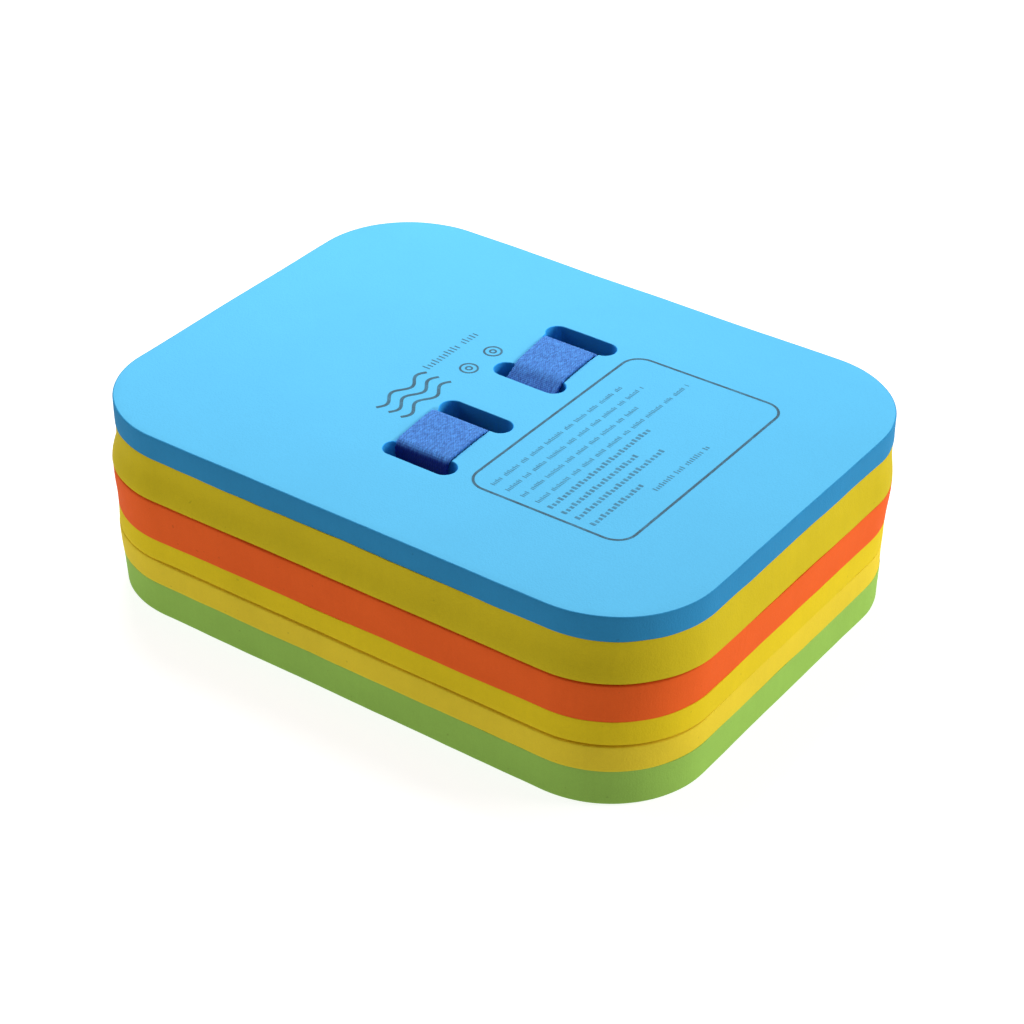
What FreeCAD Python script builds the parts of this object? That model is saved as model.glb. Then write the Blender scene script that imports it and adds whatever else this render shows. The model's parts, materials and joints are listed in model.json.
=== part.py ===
import FreeCAD, Part
import math
import os

import Sketcher
from FreeCAD import Placement, Rotation, Vector

# A belt-worn back float: three loose foam boards, each laminated from two colours of sheet foam,
# strung on one waist belt that passes through a row of four slots. The spare belt is folded into
# a hank behind the boards, with its side-release buckle closed on top.
# Frame: millimetres, +X along the boards, +Z up, origin at the centre of the underside.

SIZES = [
    ("board_length", 280.0),
    ("board_width", 215.0),
    ("corner_radius", 45.0),
    ("edge_round", 0.8),
    ("seam_gap", 0.3),
    # sheet thicknesses, from the floor up
    ("green_thick", 16.2),
    ("low_yellow_thick", 11.8),
    ("mid_yellow_thick", 10.8),
    ("orange_thick", 18.4),
    ("top_yellow_thick", 18.9),
    ("blue_thick", 11.1),
    # how far each sheet's cut edge stands out past the nominal outline
    ("green_proud", -0.5),
    ("low_yellow_proud", 0.1),
    ("mid_yellow_proud", 0.4),
    ("orange_proud", 0.5),
    ("top_yellow_proud", 0.5),
    ("blue_proud", 0.0),
    # belt slots and the bed that the belt has pressed into the underside
    ("slot_length", 34.0),
    ("slot_width", 10.5),
    ("slot_pitch", 37.6),
    ("bed_width", 27.0),
    ("bed_depth", 3.2),
    # webbing
    ("webbing_width", 25.0),
    ("webbing_thick", 1.4),
    ("webbing_clear", 0.3),
    ("bridge_arch", 1.3),
    ("bridge_one_shift", -0.9),
    ("bridge_two_shift", 0.9),
    ("leg_split_height", 8.0),
    # hank
    ("hank_near", 113.8),
    ("hank_fold_near", 118.0),
    ("hank_fold_far", 181.0),
    ("band_thick", 1.0),
    ("band_length", 12.0),
    # side-release buckle, along +Y from the plug's outer bar to the socket's bar
    ("buckle_start", 120.9),
    ("buckle_mouth", 142.2),
    ("buckle_end", 178.6),
    ("buckle_floor", 15.7),
    ("socket_width", 34.4),
    ("socket_thick", 10.0),
    ("cavity_width", 28.0),
    ("cavity_height", 5.4),
    ("cavity_end", 168.5),
    ("window_start", 155.0),
    ("window_end", 167.0),
    ("ladder_bar", 3.4),
    ("ladder_slot", 4.0),
    ("bar_thick", 3.2),
    ("plug_width", 32.0),
    ("plug_head_thick", 8.4),
    ("head_round", 1.2),
    ("tongue_width", 4.4),
    ("tongue_thick", 3.8),
    ("tongue_reach", 19.0),
    ("loop_length", 4.7),
    ("socket_round", 2.4),
    ("buckle_play", 0.3),
    ("prong_thick", 4.4),
    # print on the top face
    ("ink_thick", 0.1),
    ("frame_line", 1.0),
    ("frame_near", 23.6),
    ("frame_far", 98.0),
    ("frame_half_width", 60.5),
    ("frame_corner", 9.0),
    ("lines_start", -55.0),
    ("footer_place", 86.6),
    ("footer_start", -21.0),
    ("footer_length", 40.0),
    ("mark_start", -37.0),
    ("wave_step", 8.5),
    ("dot_radius", 4.0),
]

doc = FreeCAD.newDocument("BackFloat")
sheet = doc.addObject("Spreadsheet::Sheet", "Sizes")
for row, (alias, value) in enumerate(SIZES, start=1):
    sheet.set(f"A{row}", alias)
    sheet.set(f"B{row}", str(value))
    sheet.setAlias(f"B{row}", alias)
doc.recompute()

nodes = []


def size(alias):
    return float(sheet.get(alias))


def node(obj, name):
    obj.Label = name
    nodes.append(obj)
    return obj


# ---------------------------------------------------------------- sketch helpers


def origin_part(body, role):
    return next(f for f in body.Origin.OriginFeatures if f.Role == role)


def sketch_on(body, name, plane="XY_Plane"):
    sketch = body.newObject("Sketcher::SketchObject", name)
    sketch.AttachmentSupport = [(origin_part(body, plane), "")]
    sketch.MapMode = "FlatFace"
    return sketch


def bind(sketch, constraint, name, expression):
    index = sketch.addConstraint(constraint)
    sketch.renameConstraint(index, name)
    sketch.setExpression(f"Constraints.{name}", expression)


def rounded_loop(sketch, tag, centre, extent, radius, bound):
    """Rounded rectangle (a full-round slot when the radius is half the width).
    bound gives the expressions for its length, width, corner radius and centre offsets."""
    (cx, cy), (half_x, half_y) = centre, (extent[0] / 2, extent[1] / 2)
    inner_x, inner_y = half_x - radius, half_y - radius
    z_axis = Vector(0, 0, 1)
    corners = [(1, 1, 0), (-1, 1, 90), (-1, -1, 180), (1, -1, 270)]
    arcs = []
    for sx, sy, start in corners:
        middle = Vector(cx + sx * inner_x, cy + sy * inner_y, 0)
        circle = Part.Circle(middle, z_axis, radius)
        arc = Part.ArcOfCircle(circle, math.radians(start), math.radians(start + 90))
        arcs.append(sketch.addGeometry(arc, False))
    lines = []
    for k in range(4):
        start = sketch.getPoint(arcs[k], 2)
        end = sketch.getPoint(arcs[(k + 1) % 4], 1)
        lines.append(sketch.addGeometry(Part.LineSegment(start, end), False))
    for k in range(4):
        sketch.addConstraint(Sketcher.Constraint("Tangent", arcs[k], 2, lines[k], 1))
        sketch.addConstraint(Sketcher.Constraint("Tangent", lines[k], 2, arcs[(k + 1) % 4], 1))
    for k in range(1, 4):
        sketch.addConstraint(Sketcher.Constraint("Equal", arcs[0], arcs[k]))
    sketch.addConstraint(Sketcher.Constraint("Horizontal", lines[0]))
    sketch.addConstraint(Sketcher.Constraint("Vertical", lines[1]))
    bind(sketch, Sketcher.Constraint("Radius", arcs[0], radius), tag + "_radius", bound["radius"])
    span_x = Sketcher.Constraint("DistanceX", arcs[1], 3, arcs[0], 3, 2 * inner_x)
    bind(sketch, span_x, tag + "_span_x", f"({bound['length']}) - 2 * ({bound['radius']})")
    span_y = Sketcher.Constraint("DistanceY", arcs[3], 3, arcs[0], 3, 2 * inner_y)
    bind(sketch, span_y, tag + "_span_y", f"({bound['width']}) - 2 * ({bound['radius']})")
    # Each offset is measured from the origin to one corner's centre, so it keeps its sign.
    far = Sketcher.Constraint("DistanceX", -1, 1, arcs[0], 3, cx + inner_x)
    half_length = f"(({bound['length']}) / 2 - ({bound['radius']}))"
    bind(sketch, far, tag + "_far", f"({bound['x']}) + {half_length}")
    side = Sketcher.Constraint("DistanceY", -1, 1, arcs[0], 3, cy + inner_y)
    half_width = f"(({bound['width']}) / 2 - ({bound['radius']}))"
    bind(sketch, side, tag + "_side", f"({bound['y']}) + {half_width}")


def slot_loop(sketch):
    """The first full-round belt slot, at the -Y end of the row."""
    radius = size("slot_width") / 2
    reach = size("slot_length") / 2 - radius
    row_start = 1.5 * size("slot_pitch")
    z_axis = Vector(0, 0, 1)
    right_circle = Part.Circle(Vector(reach, -row_start, 0), z_axis, radius)
    left_circle = Part.Circle(Vector(-reach, -row_start, 0), z_axis, radius)
    right = sketch.addGeometry(Part.ArcOfCircle(right_circle, -math.pi / 2, math.pi / 2), False)
    left = sketch.addGeometry(Part.ArcOfCircle(left_circle, math.pi / 2, 3 * math.pi / 2), False)
    top = sketch.addGeometry(
        Part.LineSegment(sketch.getPoint(right, 2), sketch.getPoint(left, 1)), False)
    bottom = sketch.addGeometry(
        Part.LineSegment(sketch.getPoint(left, 2), sketch.getPoint(right, 1)), False)
    for first, first_end, second, second_end in (
            (right, 2, top, 1), (top, 2, left, 1), (left, 2, bottom, 1), (bottom, 2, right, 1)):
        sketch.addConstraint(
            Sketcher.Constraint("Tangent", first, first_end, second, second_end))
    sketch.addConstraint(Sketcher.Constraint("Equal", right, left))
    sketch.addConstraint(Sketcher.Constraint("Symmetric", left, 3, right, 3, -2))
    bind(sketch, Sketcher.Constraint("Radius", right, radius), "end_radius",
         "Sizes.slot_width / 2")
    bind(sketch, Sketcher.Constraint("DistanceX", left, 3, right, 3, 2 * reach), "straight",
         "Sizes.slot_length - Sizes.slot_width")
    bind(sketch, Sketcher.Constraint("DistanceY", right, 3, -1, 1, row_start), "row_start",
         "1.5 * Sizes.slot_pitch")


def edges_at_height(feature, height):
    names = []
    for index, edge in enumerate(feature.Shape.Edges, start=1):
        box = edge.BoundBox
        if abs(box.ZMin - height) < 1e-4 and abs(box.ZMax - height) < 1e-4:
            names.append(f"Edge{index}")
    return names


def check_cut(before, after, name):
    if not after.Shape.Volume < before.Shape.Volume - 1:
        raise RuntimeError(f"{name} removed nothing")


# ---------------------------------------------------------------- foam sheets


def foam_sheet(name, key, below, round_top):
    """One die-cut foam sheet. key is its prefix in the sheet of sizes, below the expression for
    the height of its underside, and round_top says which face has the softened edges."""
    body = doc.addObject("PartDesign::Body", name)
    node(body, name)
    proud = f"Sizes.{key}_proud"
    extent = (size("board_length") + 2 * size(key + "_proud"),
              size("board_width") + 2 * size(key + "_proud"))
    outline = sketch_on(body, name + "_outline")
    rounded_loop(outline, "outline", (0, 0), extent, size("corner_radius"), {
        "length": f"Sizes.board_length + 2 * {proud}",
        "width": f"Sizes.board_width + 2 * {proud}",
        "radius": "Sizes.corner_radius",
        "x": "0",
        "y": "0",
    })
    doc.recompute()
    pad = body.newObject("PartDesign::Pad", name + "_pad")
    pad.Profile = outline
    pad.setExpression("Length", f"Sizes.{key}_thick")
    outline.Visibility = False
    doc.recompute()

    slot_sketch = sketch_on(body, name + "_slot")
    slot_loop(slot_sketch)
    doc.recompute()
    slot = body.newObject("PartDesign::Pocket", name + "_slot_cut")
    slot.Profile = slot_sketch
    slot.Type = 1
    slot.Reversed = True
    doc.recompute()
    check_cut(pad, slot, name + " slot")

    row = body.newObject("PartDesign::LinearPattern", name + "_slot_row")
    row.Originals = [slot]
    row.Direction = (origin_part(body, "Y_Axis"), [""])
    row.setExpression("Length", "3 * Sizes.slot_pitch")
    row.Occurrences = 4
    body.Tip = row
    doc.recompute()
    check_cut(slot, row, name + " slot row")

    soften = body.newObject("PartDesign::Fillet", name + "_soft_edge")
    soften.Base = (row, edges_at_height(row, size(key + "_thick") if round_top else 0.0))
    soften.setExpression("Radius", "Sizes.edge_round")
    body.Tip = soften
    doc.recompute()

    body.setExpression("Placement.Base.z", below)
    return body, soften


def underside_bed(body, before):
    """The shallow bed that the belt lies in, from the first slot out through the +Y edge."""
    start = -1.5 * size("slot_pitch")
    end = size("board_width") / 2 + 5
    sketch = sketch_on(body, "bed_outline")
    half = size("bed_width") / 2
    points = [Vector(-half, start, 0), Vector(half, start, 0),
              Vector(half, end, 0), Vector(-half, end, 0)]
    for k in range(4):
        sketch.addGeometry(Part.LineSegment(points[k], points[(k + 1) % 4]), False)
    for k in range(4):
        sketch.addConstraint(Sketcher.Constraint("Coincident", k, 2, (k + 1) % 4, 1))
    sketch.addConstraint(Sketcher.Constraint("Symmetric", 0, 1, 0, 2, -2))
    sketch.addConstraint(Sketcher.Constraint("Vertical", 1))
    sketch.addConstraint(Sketcher.Constraint("Horizontal", 2))
    sketch.addConstraint(Sketcher.Constraint("Vertical", 3))
    bind(sketch, Sketcher.Constraint("DistanceX", 0, 1, 0, 2, 2 * half), "across",
         "Sizes.bed_width")
    bind(sketch, Sketcher.Constraint("DistanceY", 0, 1, -1, 1, -start), "start",
         "1.5 * Sizes.slot_pitch")
    bind(sketch, Sketcher.Constraint("DistanceY", -1, 1, 2, 1, end), "reach",
         "Sizes.board_width / 2 + 5")
    doc.recompute()
    bed = body.newObject("PartDesign::Pocket", "bed_cut")
    bed.Profile = sketch
    bed.setExpression("Length", "Sizes.bed_depth")
    bed.Reversed = True
    body.Tip = bed
    doc.recompute()
    check_cut(before, bed, "belt bed")


def build_boards():
    gap = "Sizes.seam_gap"
    low_top = "Sizes.green_thick + Sizes.low_yellow_thick"
    mid_start = f"{low_top} + {gap}"
    mid_top = f"{mid_start} + Sizes.mid_yellow_thick + Sizes.orange_thick"
    top_start = f"{mid_top} + {gap}"
    green, green_edge = foam_sheet("bottom_board_green_sheet", "green", "0", False)
    underside_bed(green, green_edge)
    foam_sheet("bottom_board_yellow_sheet", "low_yellow", "Sizes.green_thick", True)
    foam_sheet("middle_board_yellow_sheet", "mid_yellow", mid_start, False)
    foam_sheet("middle_board_orange_sheet", "orange",
               f"{mid_start} + Sizes.mid_yellow_thick", True)
    foam_sheet("top_board_yellow_sheet", "top_yellow", top_start, False)
    foam_sheet("top_board_blue_sheet", "blue", f"{top_start} + Sizes.top_yellow_thick", True)


def stack_height():
    sheets = ("green_thick", "low_yellow_thick", "mid_yellow_thick", "orange_thick",
              "top_yellow_thick", "blue_thick")
    return sum(size(alias) for alias in sheets) + 2 * size("seam_gap")


# ---------------------------------------------------------------- folded webbing


def centreline(path):
    """Straight runs and tangent arcs through a path of (u, v, bend radius). Each piece is a list
    of (point, left normal): two for a run, three for an arc."""
    points = [Vector(u, v, 0) for u, v, _ in path]
    pieces = []
    here = points[0]
    for k in range(1, len(points)):
        before, corner = points[k - 1], points[k]
        ahead = (corner - before) * (1 / (corner - before).Length)
        left = Vector(-ahead.y, ahead.x, 0)
        if k == len(points) - 1:
            pieces.append([(here, left), (corner, left)])
            break
        leaving = (points[k + 1] - corner) * (1 / (points[k + 1] - corner).Length)
        turn = math.atan2(ahead.x * leaving.y - ahead.y * leaving.x,
                          ahead.x * leaving.x + ahead.y * leaving.y)
        radius = path[k][2]
        trim = radius * math.tan(abs(turn) / 2)
        start, end = corner - ahead * trim, corner + leaving * trim
        if (start - here).Length > 1e-6:
            pieces.append([(here, left), (start, left)])
        side = math.copysign(1, turn)
        centre = start + left * (side * radius)
        samples = []
        for part in (0, 0.5, 1):
            angle = turn * part
            normal = Vector(left.x * math.cos(angle) - left.y * math.sin(angle),
                            left.x * math.sin(angle) + left.y * math.cos(angle), 0)
            samples.append((centre - normal * (side * radius), normal))
        pieces.append(samples)
        here = end
    return pieces


def strip_solid(path, thickness, across, to_space):
    """A strip of even thickness along the path, extruded by the vector across."""
    pieces = centreline(path)
    sides = []
    for side in (1, -1):
        edges = []
        for piece in pieces:
            spots = [to_space(p + n * (side * thickness / 2)) for p, n in piece]
            curve = Part.LineSegment(*spots) if len(spots) == 2 else Part.Arc(*spots)
            edges.append(curve.toShape())
        sides.append(edges)
    ends = []
    for piece, spot in ((pieces[0], 0), (pieces[-1], -1)):
        point, normal = piece[spot]
        corners = [to_space(point + normal * (side * thickness / 2)) for side in (1, -1)]
        ends.append(Part.LineSegment(*corners).toShape())
    ordered = sides[0] + [ends[1]] + sides[1][::-1] + [ends[0]]
    return Part.Face(Part.Wire(ordered)).extrude(across)


def webbing(name, path, shift=0.0):
    """A piece of belt: its path is in the Y-Z plane, and its width runs along X."""
    width = size("webbing_width")
    left_edge = shift - width / 2
    feature = doc.addObject("Part::Feature", name)
    feature.Shape = strip_solid(path, size("webbing_thick"), Vector(width, 0, 0),
                                lambda p: Vector(left_edge, p.x, p.y))
    feature.Placement = Placement()
    return node(feature, name)


def buckle_window_middle():
    return (size("window_start") + size("window_end")) / 2


def build_belt():
    """Two bridges over the boards, a run under them, and the two tails that make the hank."""
    thick, clear = size("webbing_thick"), size("webbing_clear")
    half_slot = size("slot_width") / 2
    off_wall = clear + thick / 2
    slots = [(k - 1.5) * size("slot_pitch") for k in range(4)]
    over_top = stack_height() + off_wall
    crown = over_top + size("bridge_arch")
    split = size("leg_split_height")
    lower_layer = thick / 2
    upper_layer = lower_layer + thick + 0.15
    foam_bend, lip_bend, arch_bend, bar_bend = 1.2, 2.0, 60.0, 1.2

    # Where the belt's centre goes over each slot's lip. It hangs straight down from there.
    lip = [slots[0] + half_slot - off_wall, slots[1] - half_slot + off_wall,
           slots[2] + half_slot - off_wall, slots[3] - half_slot + off_wall]

    for name, first, second, shift in (
            ("belt_bridge_one", 0, 1, "bridge_one_shift"),
            ("belt_bridge_two", 2, 3, "bridge_two_shift")):
        middle = (lip[first] + lip[second]) / 2
        webbing(name, [
            (lip[first], split, 0),
            (lip[first], over_top, lip_bend),
            (middle, crown, arch_bend),
            (lip[second], over_top, lip_bend),
            (lip[second], split, 0),
        ], size(shift))

    webbing("belt_under_run", [
        (lip[1], split, 0),
        (lip[1], upper_layer, foam_bend),
        (lip[2], upper_layer, foam_bend),
        (lip[2], split, 0),
    ])

    # The hank: six layers lie over one another, and the band goes round them all.
    edge = size("board_width") / 2
    near, fold_near, fold_far = size("hank_near"), size("hank_fold_near"), size("hank_fold_far")
    layer = [size("band_thick") + 0.2 + thick / 2]
    for step in (1.6, 3.2, 2.0, 2.8, 2.0):
        layer.append(layer[-1] + step)
    bar_middle = size("buckle_floor") + size("socket_thick") / 2
    over_bar = bar_middle + size("bar_thick") / 2 + 0.2 + thick / 2
    under_bar = 2 * bar_middle - over_bar
    sewn_in = size("buckle_end") - size("ladder_bar") - 0.2 - thick / 2
    sewn_out = size("buckle_end") + 2.8

    webbing("belt_tail_sewn", [
        (lip[0], split, 0),
        (lip[0], lower_layer, 1.8),
        (edge + 1, lower_layer, 8.0),
        (near, layer[0], 8.0),
        (fold_far, layer[0], (layer[3] - layer[0]) / 2 - 0.01),
        (fold_far, layer[3], (layer[3] - layer[0]) / 2 - 0.01),
        (fold_near, layer[3], (layer[4] - layer[3]) / 2 - 0.01),
        (fold_near, layer[4], (layer[4] - layer[3]) / 2 - 0.01),
        (sewn_out + thick + 0.2, layer[4], 2.5),
        (sewn_out + thick + 0.2, over_bar, 2.6),
        (sewn_in, over_bar, bar_bend),
        (sewn_in, under_bar, bar_bend),
        (sewn_out, under_bar, 2.0),
        (sewn_out, layer[4] + thick + 0.3, 0),
    ])

    ladder_outer = size("buckle_start") + size("ladder_bar")
    ladder_inner = ladder_outer + size("ladder_slot") + size("ladder_bar")
    outer_slot = ladder_outer + size("ladder_slot") - 0.2 - thick / 2
    inner_slot = ladder_inner + 0.2 + thick / 2
    load_height = over_bar + thick + 0.2
    inner_fold = fold_far - thick - 0.8
    webbing("belt_tail_adjustable", [
        (lip[3], split, 0),
        (lip[3], upper_layer, foam_bend),
        (edge + 1, upper_layer, 8.0),
        (near, layer[1], 8.0),
        (inner_fold, layer[1], (layer[2] - layer[1]) / 2 - 0.01),
        (inner_fold, layer[2], (layer[2] - layer[1]) / 2 - 0.01),
        (near, layer[2], 3.0),
        (near, load_height, 3.5),
        (inner_slot, load_height, 2.0),
        (inner_slot, under_bar, bar_bend),
        (outer_slot, under_bar, bar_bend),
        (outer_slot, over_bar, 1.4),
        (fold_near + 0.6, over_bar, 2.2),
        (fold_near + 0.6, layer[5], 2.2),
        (buckle_window_middle() + 2, layer[5], 0),
    ])
    return layer, sewn_out


# ---------------------------------------------------------------- band, buckle and stitching


def block(name, low, high):
    """A Part::Box between two corners, each given as three expressions."""
    box = doc.addObject("Part::Box", name)
    for prop, axis, first, last in zip(("Length", "Width", "Height"), "xyz", low, high):
        box.setExpression(prop, f"({last}) - ({first})")
        box.setExpression(f"Placement.Base.{axis}", first)
    return box


def centred(half):
    return f"-({half})", f"({half})"


def cut(name, base, tools):
    for index, tool in enumerate(tools):
        step = doc.addObject("Part::Cut", f"{name}_cut{index}")
        step.Base, step.Tool = base, tool
        base = step
    doc.recompute()
    return base


def soften_edges(name, base, radius, wanted):
    fillet = doc.addObject("Part::Fillet", name + "_soft")
    fillet.Base = base
    chosen = [(k, radius, radius) for k, edge in enumerate(base.Shape.Edges, 1) if wanted(edge)]
    fillet.Edges = chosen
    doc.recompute()
    return fillet


def build_band(layer):
    half = "Sizes.webbing_width / 2 + 0.5"
    outer = f"{half} + Sizes.band_thick"
    start = "Sizes.buckle_mouth + 2"
    end = f"{start} + Sizes.band_length"
    inner_top = f"{layer[5] + size('webbing_thick') / 2 + 0.2:.3f}"
    left, right = centred(outer)
    shell = block("band_outer", (left, start, "0"), (right, end, f"{inner_top} + Sizes.band_thick"))
    left, right = centred(half)
    hollow = block("band_hollow", (left, f"{start} - 1", "Sizes.band_thick"),
                   (right, f"{end} + 1", inner_top))
    doc.recompute()
    rounded = soften_edges("band_outer", shell, 0.9,
                           lambda e: e.BoundBox.YLength > size("band_length") - 0.1)
    node(cut("hank_band", rounded, [hollow]), "hank_band")


def build_socket():
    middle = "Sizes.buckle_floor + Sizes.socket_thick / 2"
    left, right = centred("Sizes.socket_width / 2")
    floor, roof = "Sizes.buckle_floor", "Sizes.buckle_floor + Sizes.socket_thick"
    hull = block("socket_hull", (left, "Sizes.buckle_mouth", floor),
                 (right, "Sizes.buckle_end", roof))
    # The webbing end is thinner than the hull, above and below the bar.
    loop_end = "Sizes.buckle_end - Sizes.ladder_bar"
    step = f"{loop_end} - Sizes.loop_length - 0.8"
    bar_low, bar_high = f"{middle} - Sizes.bar_thick / 2", f"{middle} + Sizes.bar_thick / 2"
    over = block("socket_step_over", (left + " - 1", step, bar_high),
                 (right + " + 1", "Sizes.buckle_end + 1", f"{roof} + 1"))
    under = block("socket_step_under", (left + " - 1", step, f"{floor} - 1"),
                  (right + " + 1", "Sizes.buckle_end + 1", bar_low))
    loop_left, loop_right = centred("Sizes.webbing_width / 2 + 0.6")
    loop = block("socket_loop", (loop_left, f"{loop_end} - Sizes.loop_length", f"{floor} - 1"),
                 (loop_right, loop_end, f"{roof} + 1"))
    cave_left, cave_right = centred("Sizes.cavity_width / 2")
    cave_low = f"{middle} - Sizes.cavity_height / 2"
    cave_high = f"{middle} + Sizes.cavity_height / 2"
    cavity = block("socket_cavity", (cave_left, "Sizes.buckle_mouth - 1", cave_low),
                   (cave_right, "Sizes.cavity_end", cave_high))
    windows = block("socket_windows", (left + " - 1", "Sizes.window_start", cave_low),
                    (right + " + 1", "Sizes.window_end", cave_high))
    doc.recompute()
    rounded = soften_edges("socket_hull", hull, size("socket_round"),
                           lambda e: e.BoundBox.YLength > 5 and e.BoundBox.ZLength < 0.1)
    socket = cut("socket", rounded, [over, under, loop, cavity, windows])
    node(socket, "buckle_socket")


def build_plug():
    middle = "Sizes.buckle_floor + Sizes.socket_thick / 2"
    left, right = centred("Sizes.plug_width / 2")
    bar_low, bar_high = f"{middle} - Sizes.bar_thick / 2", f"{middle} + Sizes.bar_thick / 2"
    ladder_end = "Sizes.buckle_start + 2 * Sizes.ladder_bar + 2 * Sizes.ladder_slot"
    head_end = "Sizes.buckle_mouth - Sizes.buckle_play"
    ladder = block("plug_ladder", (left, "Sizes.buckle_start", bar_low),
                   (right, head_end, bar_high))
    slot_left, slot_right = centred("Sizes.webbing_width / 2 + 0.6")
    slots = []
    for index in range(2):
        start = (f"Sizes.buckle_start + {index + 1} * Sizes.ladder_bar"
                 f" + {index} * Sizes.ladder_slot")
        slots.append(block(f"plug_slot_{index}", (slot_left, start, f"{bar_low} - 1"),
                           (slot_right, f"{start} + Sizes.ladder_slot", f"{bar_high} + 1")))
    head = block("plug_head",
                 (left, f"{ladder_end} + 0.4", f"{middle} - Sizes.plug_head_thick / 2"),
                 (right, head_end, f"{middle} + Sizes.plug_head_thick / 2"))
    tongue_left, tongue_right = centred("Sizes.tongue_width / 2")
    tongue = block("plug_tongue",
                   (tongue_left, f"{head_end} - 1", f"{middle} - Sizes.tongue_thick / 2"),
                   (tongue_right, "Sizes.buckle_mouth + Sizes.tongue_reach",
                    f"{middle} + Sizes.tongue_thick / 2"))
    doc.recompute()
    ladder = soften_edges("plug_ladder", ladder, 2.5, lambda e: e.BoundBox.ZLength > 1)
    head = soften_edges("plug_head", head, size("head_round"),
                        lambda e: e.BoundBox.XLength > 5)
    base = cut("plug_ladder", ladder, slots)
    plug = doc.addObject("Part::MultiFuse", "plug_body")
    plug.Shapes = [base, head, tongue]
    doc.recompute()
    node(plug, "buckle_plug")


def build_prongs():
    """Each spring prong runs from the plug's head to a button in the socket's side window."""
    mouth, start = size("buckle_mouth"), size("window_start")
    outline = [
        (7.0, mouth + 0.1), (10.0, mouth + 0.1), (12.2, start + 0.3), (15.3, start + 0.3),
        (16.9, start + 5.5), (16.9, start + 8.5), (14.0, start + 11.3), (10.8, start + 11.3),
        (9.2, start + 0.3),
    ]
    body = doc.addObject("PartDesign::Body", "prong_right")
    sketch = sketch_on(body, "prong_outline")
    points = [Vector(x, y, 0) for x, y in outline]
    count = len(points)
    for k in range(count):
        sketch.addGeometry(Part.LineSegment(points[k], points[(k + 1) % count]), False)
    for k in range(count):
        sketch.addConstraint(Sketcher.Constraint("Coincident", k, 2, (k + 1) % count, 1))
        x_place = Sketcher.Constraint("DistanceX", -1, 1, k, 1, points[k].x)
        sketch.addConstraint(x_place)
        datum, from_datum = ("buckle_mouth", mouth) if k < 2 else ("window_start", start)
        bind(sketch, Sketcher.Constraint("DistanceY", -1, 1, k, 1, points[k].y), f"reach_{k}",
             f"Sizes.{datum} + {points[k].y - from_datum:.2f}")
    doc.recompute()
    pad = body.newObject("PartDesign::Pad", "prong_pad")
    pad.Profile = sketch
    pad.setExpression("Length", "Sizes.prong_thick")
    pad.Midplane = True
    doc.recompute()
    body.Tip = pad
    body.setExpression("Placement.Base.z", "Sizes.buckle_floor + Sizes.socket_thick / 2")
    doc.recompute()
    node(body, "buckle_prong_right")
    mirror = doc.addObject("Part::Mirroring", "prong_left")
    mirror.Source = body
    mirror.Normal = Vector(1, 0, 0)
    mirror.Base = Vector(0, 0, 0)
    doc.recompute()
    node(mirror, "buckle_prong_left")


def build_bartack(sewn_out, layer):
    """Zigzag tack that closes the sewn loop, as raised rows of thread on the strap's outside."""
    face = sewn_out + 1.5 * size("webbing_thick") + 0.2
    half = size("webbing_width") / 2 - 2
    rows = []
    for index in range(2):
        low = layer[4] + 3.4 + index * 2.2
        rows.append(Part.makeBox(2 * half, 0.3, 1.2, Vector(-half, face, low)))
    feature = doc.addObject("Part::Feature", "loop_bartack")
    feature.Shape = Part.makeCompound(rows)
    feature.Placement = Placement()
    node(feature, "loop_bartack")


# ---------------------------------------------------------------- print on the top face


def build_print_frame():
    """The thin printed line round the panel of small print."""
    body = doc.addObject("PartDesign::Body", "print_frame")
    node(body, "print_frame")
    near, far = size("frame_near"), size("frame_far")
    half, corner, line = size("frame_half_width"), size("frame_corner"), size("frame_line")
    sketch = sketch_on(body, "print_frame_outline")
    middle = (near + far) / 2
    for tag, inset in (("outer", 0.0), ("inner", line)):
        shrink = f"{0 if inset == 0 else 2} * Sizes.frame_line"
        rounded_loop(sketch, tag, (middle, 0), (far - near - 2 * inset, 2 * half - 2 * inset),
                     corner - inset, {
                         "length": f"Sizes.frame_far - Sizes.frame_near - {shrink}",
                         "width": f"2 * Sizes.frame_half_width - {shrink}",
                         "radius": f"Sizes.frame_corner - {shrink} / 2",
                         "x": "(Sizes.frame_far + Sizes.frame_near) / 2",
                         "y": "0",
                     })
    doc.recompute()
    pad = body.newObject("PartDesign::Pad", "print_frame_pad")
    pad.Profile = sketch
    pad.setExpression("Length", "Sizes.ink_thick")
    body.Tip = pad
    body.Placement = Placement(Vector(0, 0, stack_height()), Rotation())
    doc.recompute()


def ink_solids(name, solids):
    feature = doc.addObject("Part::Feature", name)
    feature.Shape = Part.makeCompound(solids)
    feature.Placement = Placement(Vector(0, 0, stack_height()), Rotation())
    node(feature, name)


def build_print_lines():
    """Rows of plain word-length bars, running along Y, that stand for the small print."""
    ink = size("ink_thick")
    # (place along X, last place along Y, height of the bars)
    rows = [(34.0, 38.0, 2.0), (41.0, 41.0, 2.0), (48.0, 28.0, 2.0), (55.0, 54.0, 2.0),
            (61.0, 16.0, 2.6), (67.4, -1.0, 2.6), (73.6, 7.0, 2.6), (80.6, -19.0, 2.6)]
    word_lengths = (7.0, 11.0, 5.0, 9.0, 13.0, 6.0)
    space = 1.8
    bars = []
    for index, (place, end, height) in enumerate(rows):
        along, word = size("lines_start"), index
        while along < end - 2:
            length = min(word_lengths[word % len(word_lengths)], end - along)
            bars.append(Part.makeBox(height, length, ink, Vector(place - height / 2, along, 0)))
            along += length + space
            word += 1
    footer = Vector(size("footer_place"), size("footer_start"), 0)
    bars.append(Part.makeBox(2.0, size("footer_length"), ink, footer))
    ink_solids("print_lines", bars)


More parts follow.
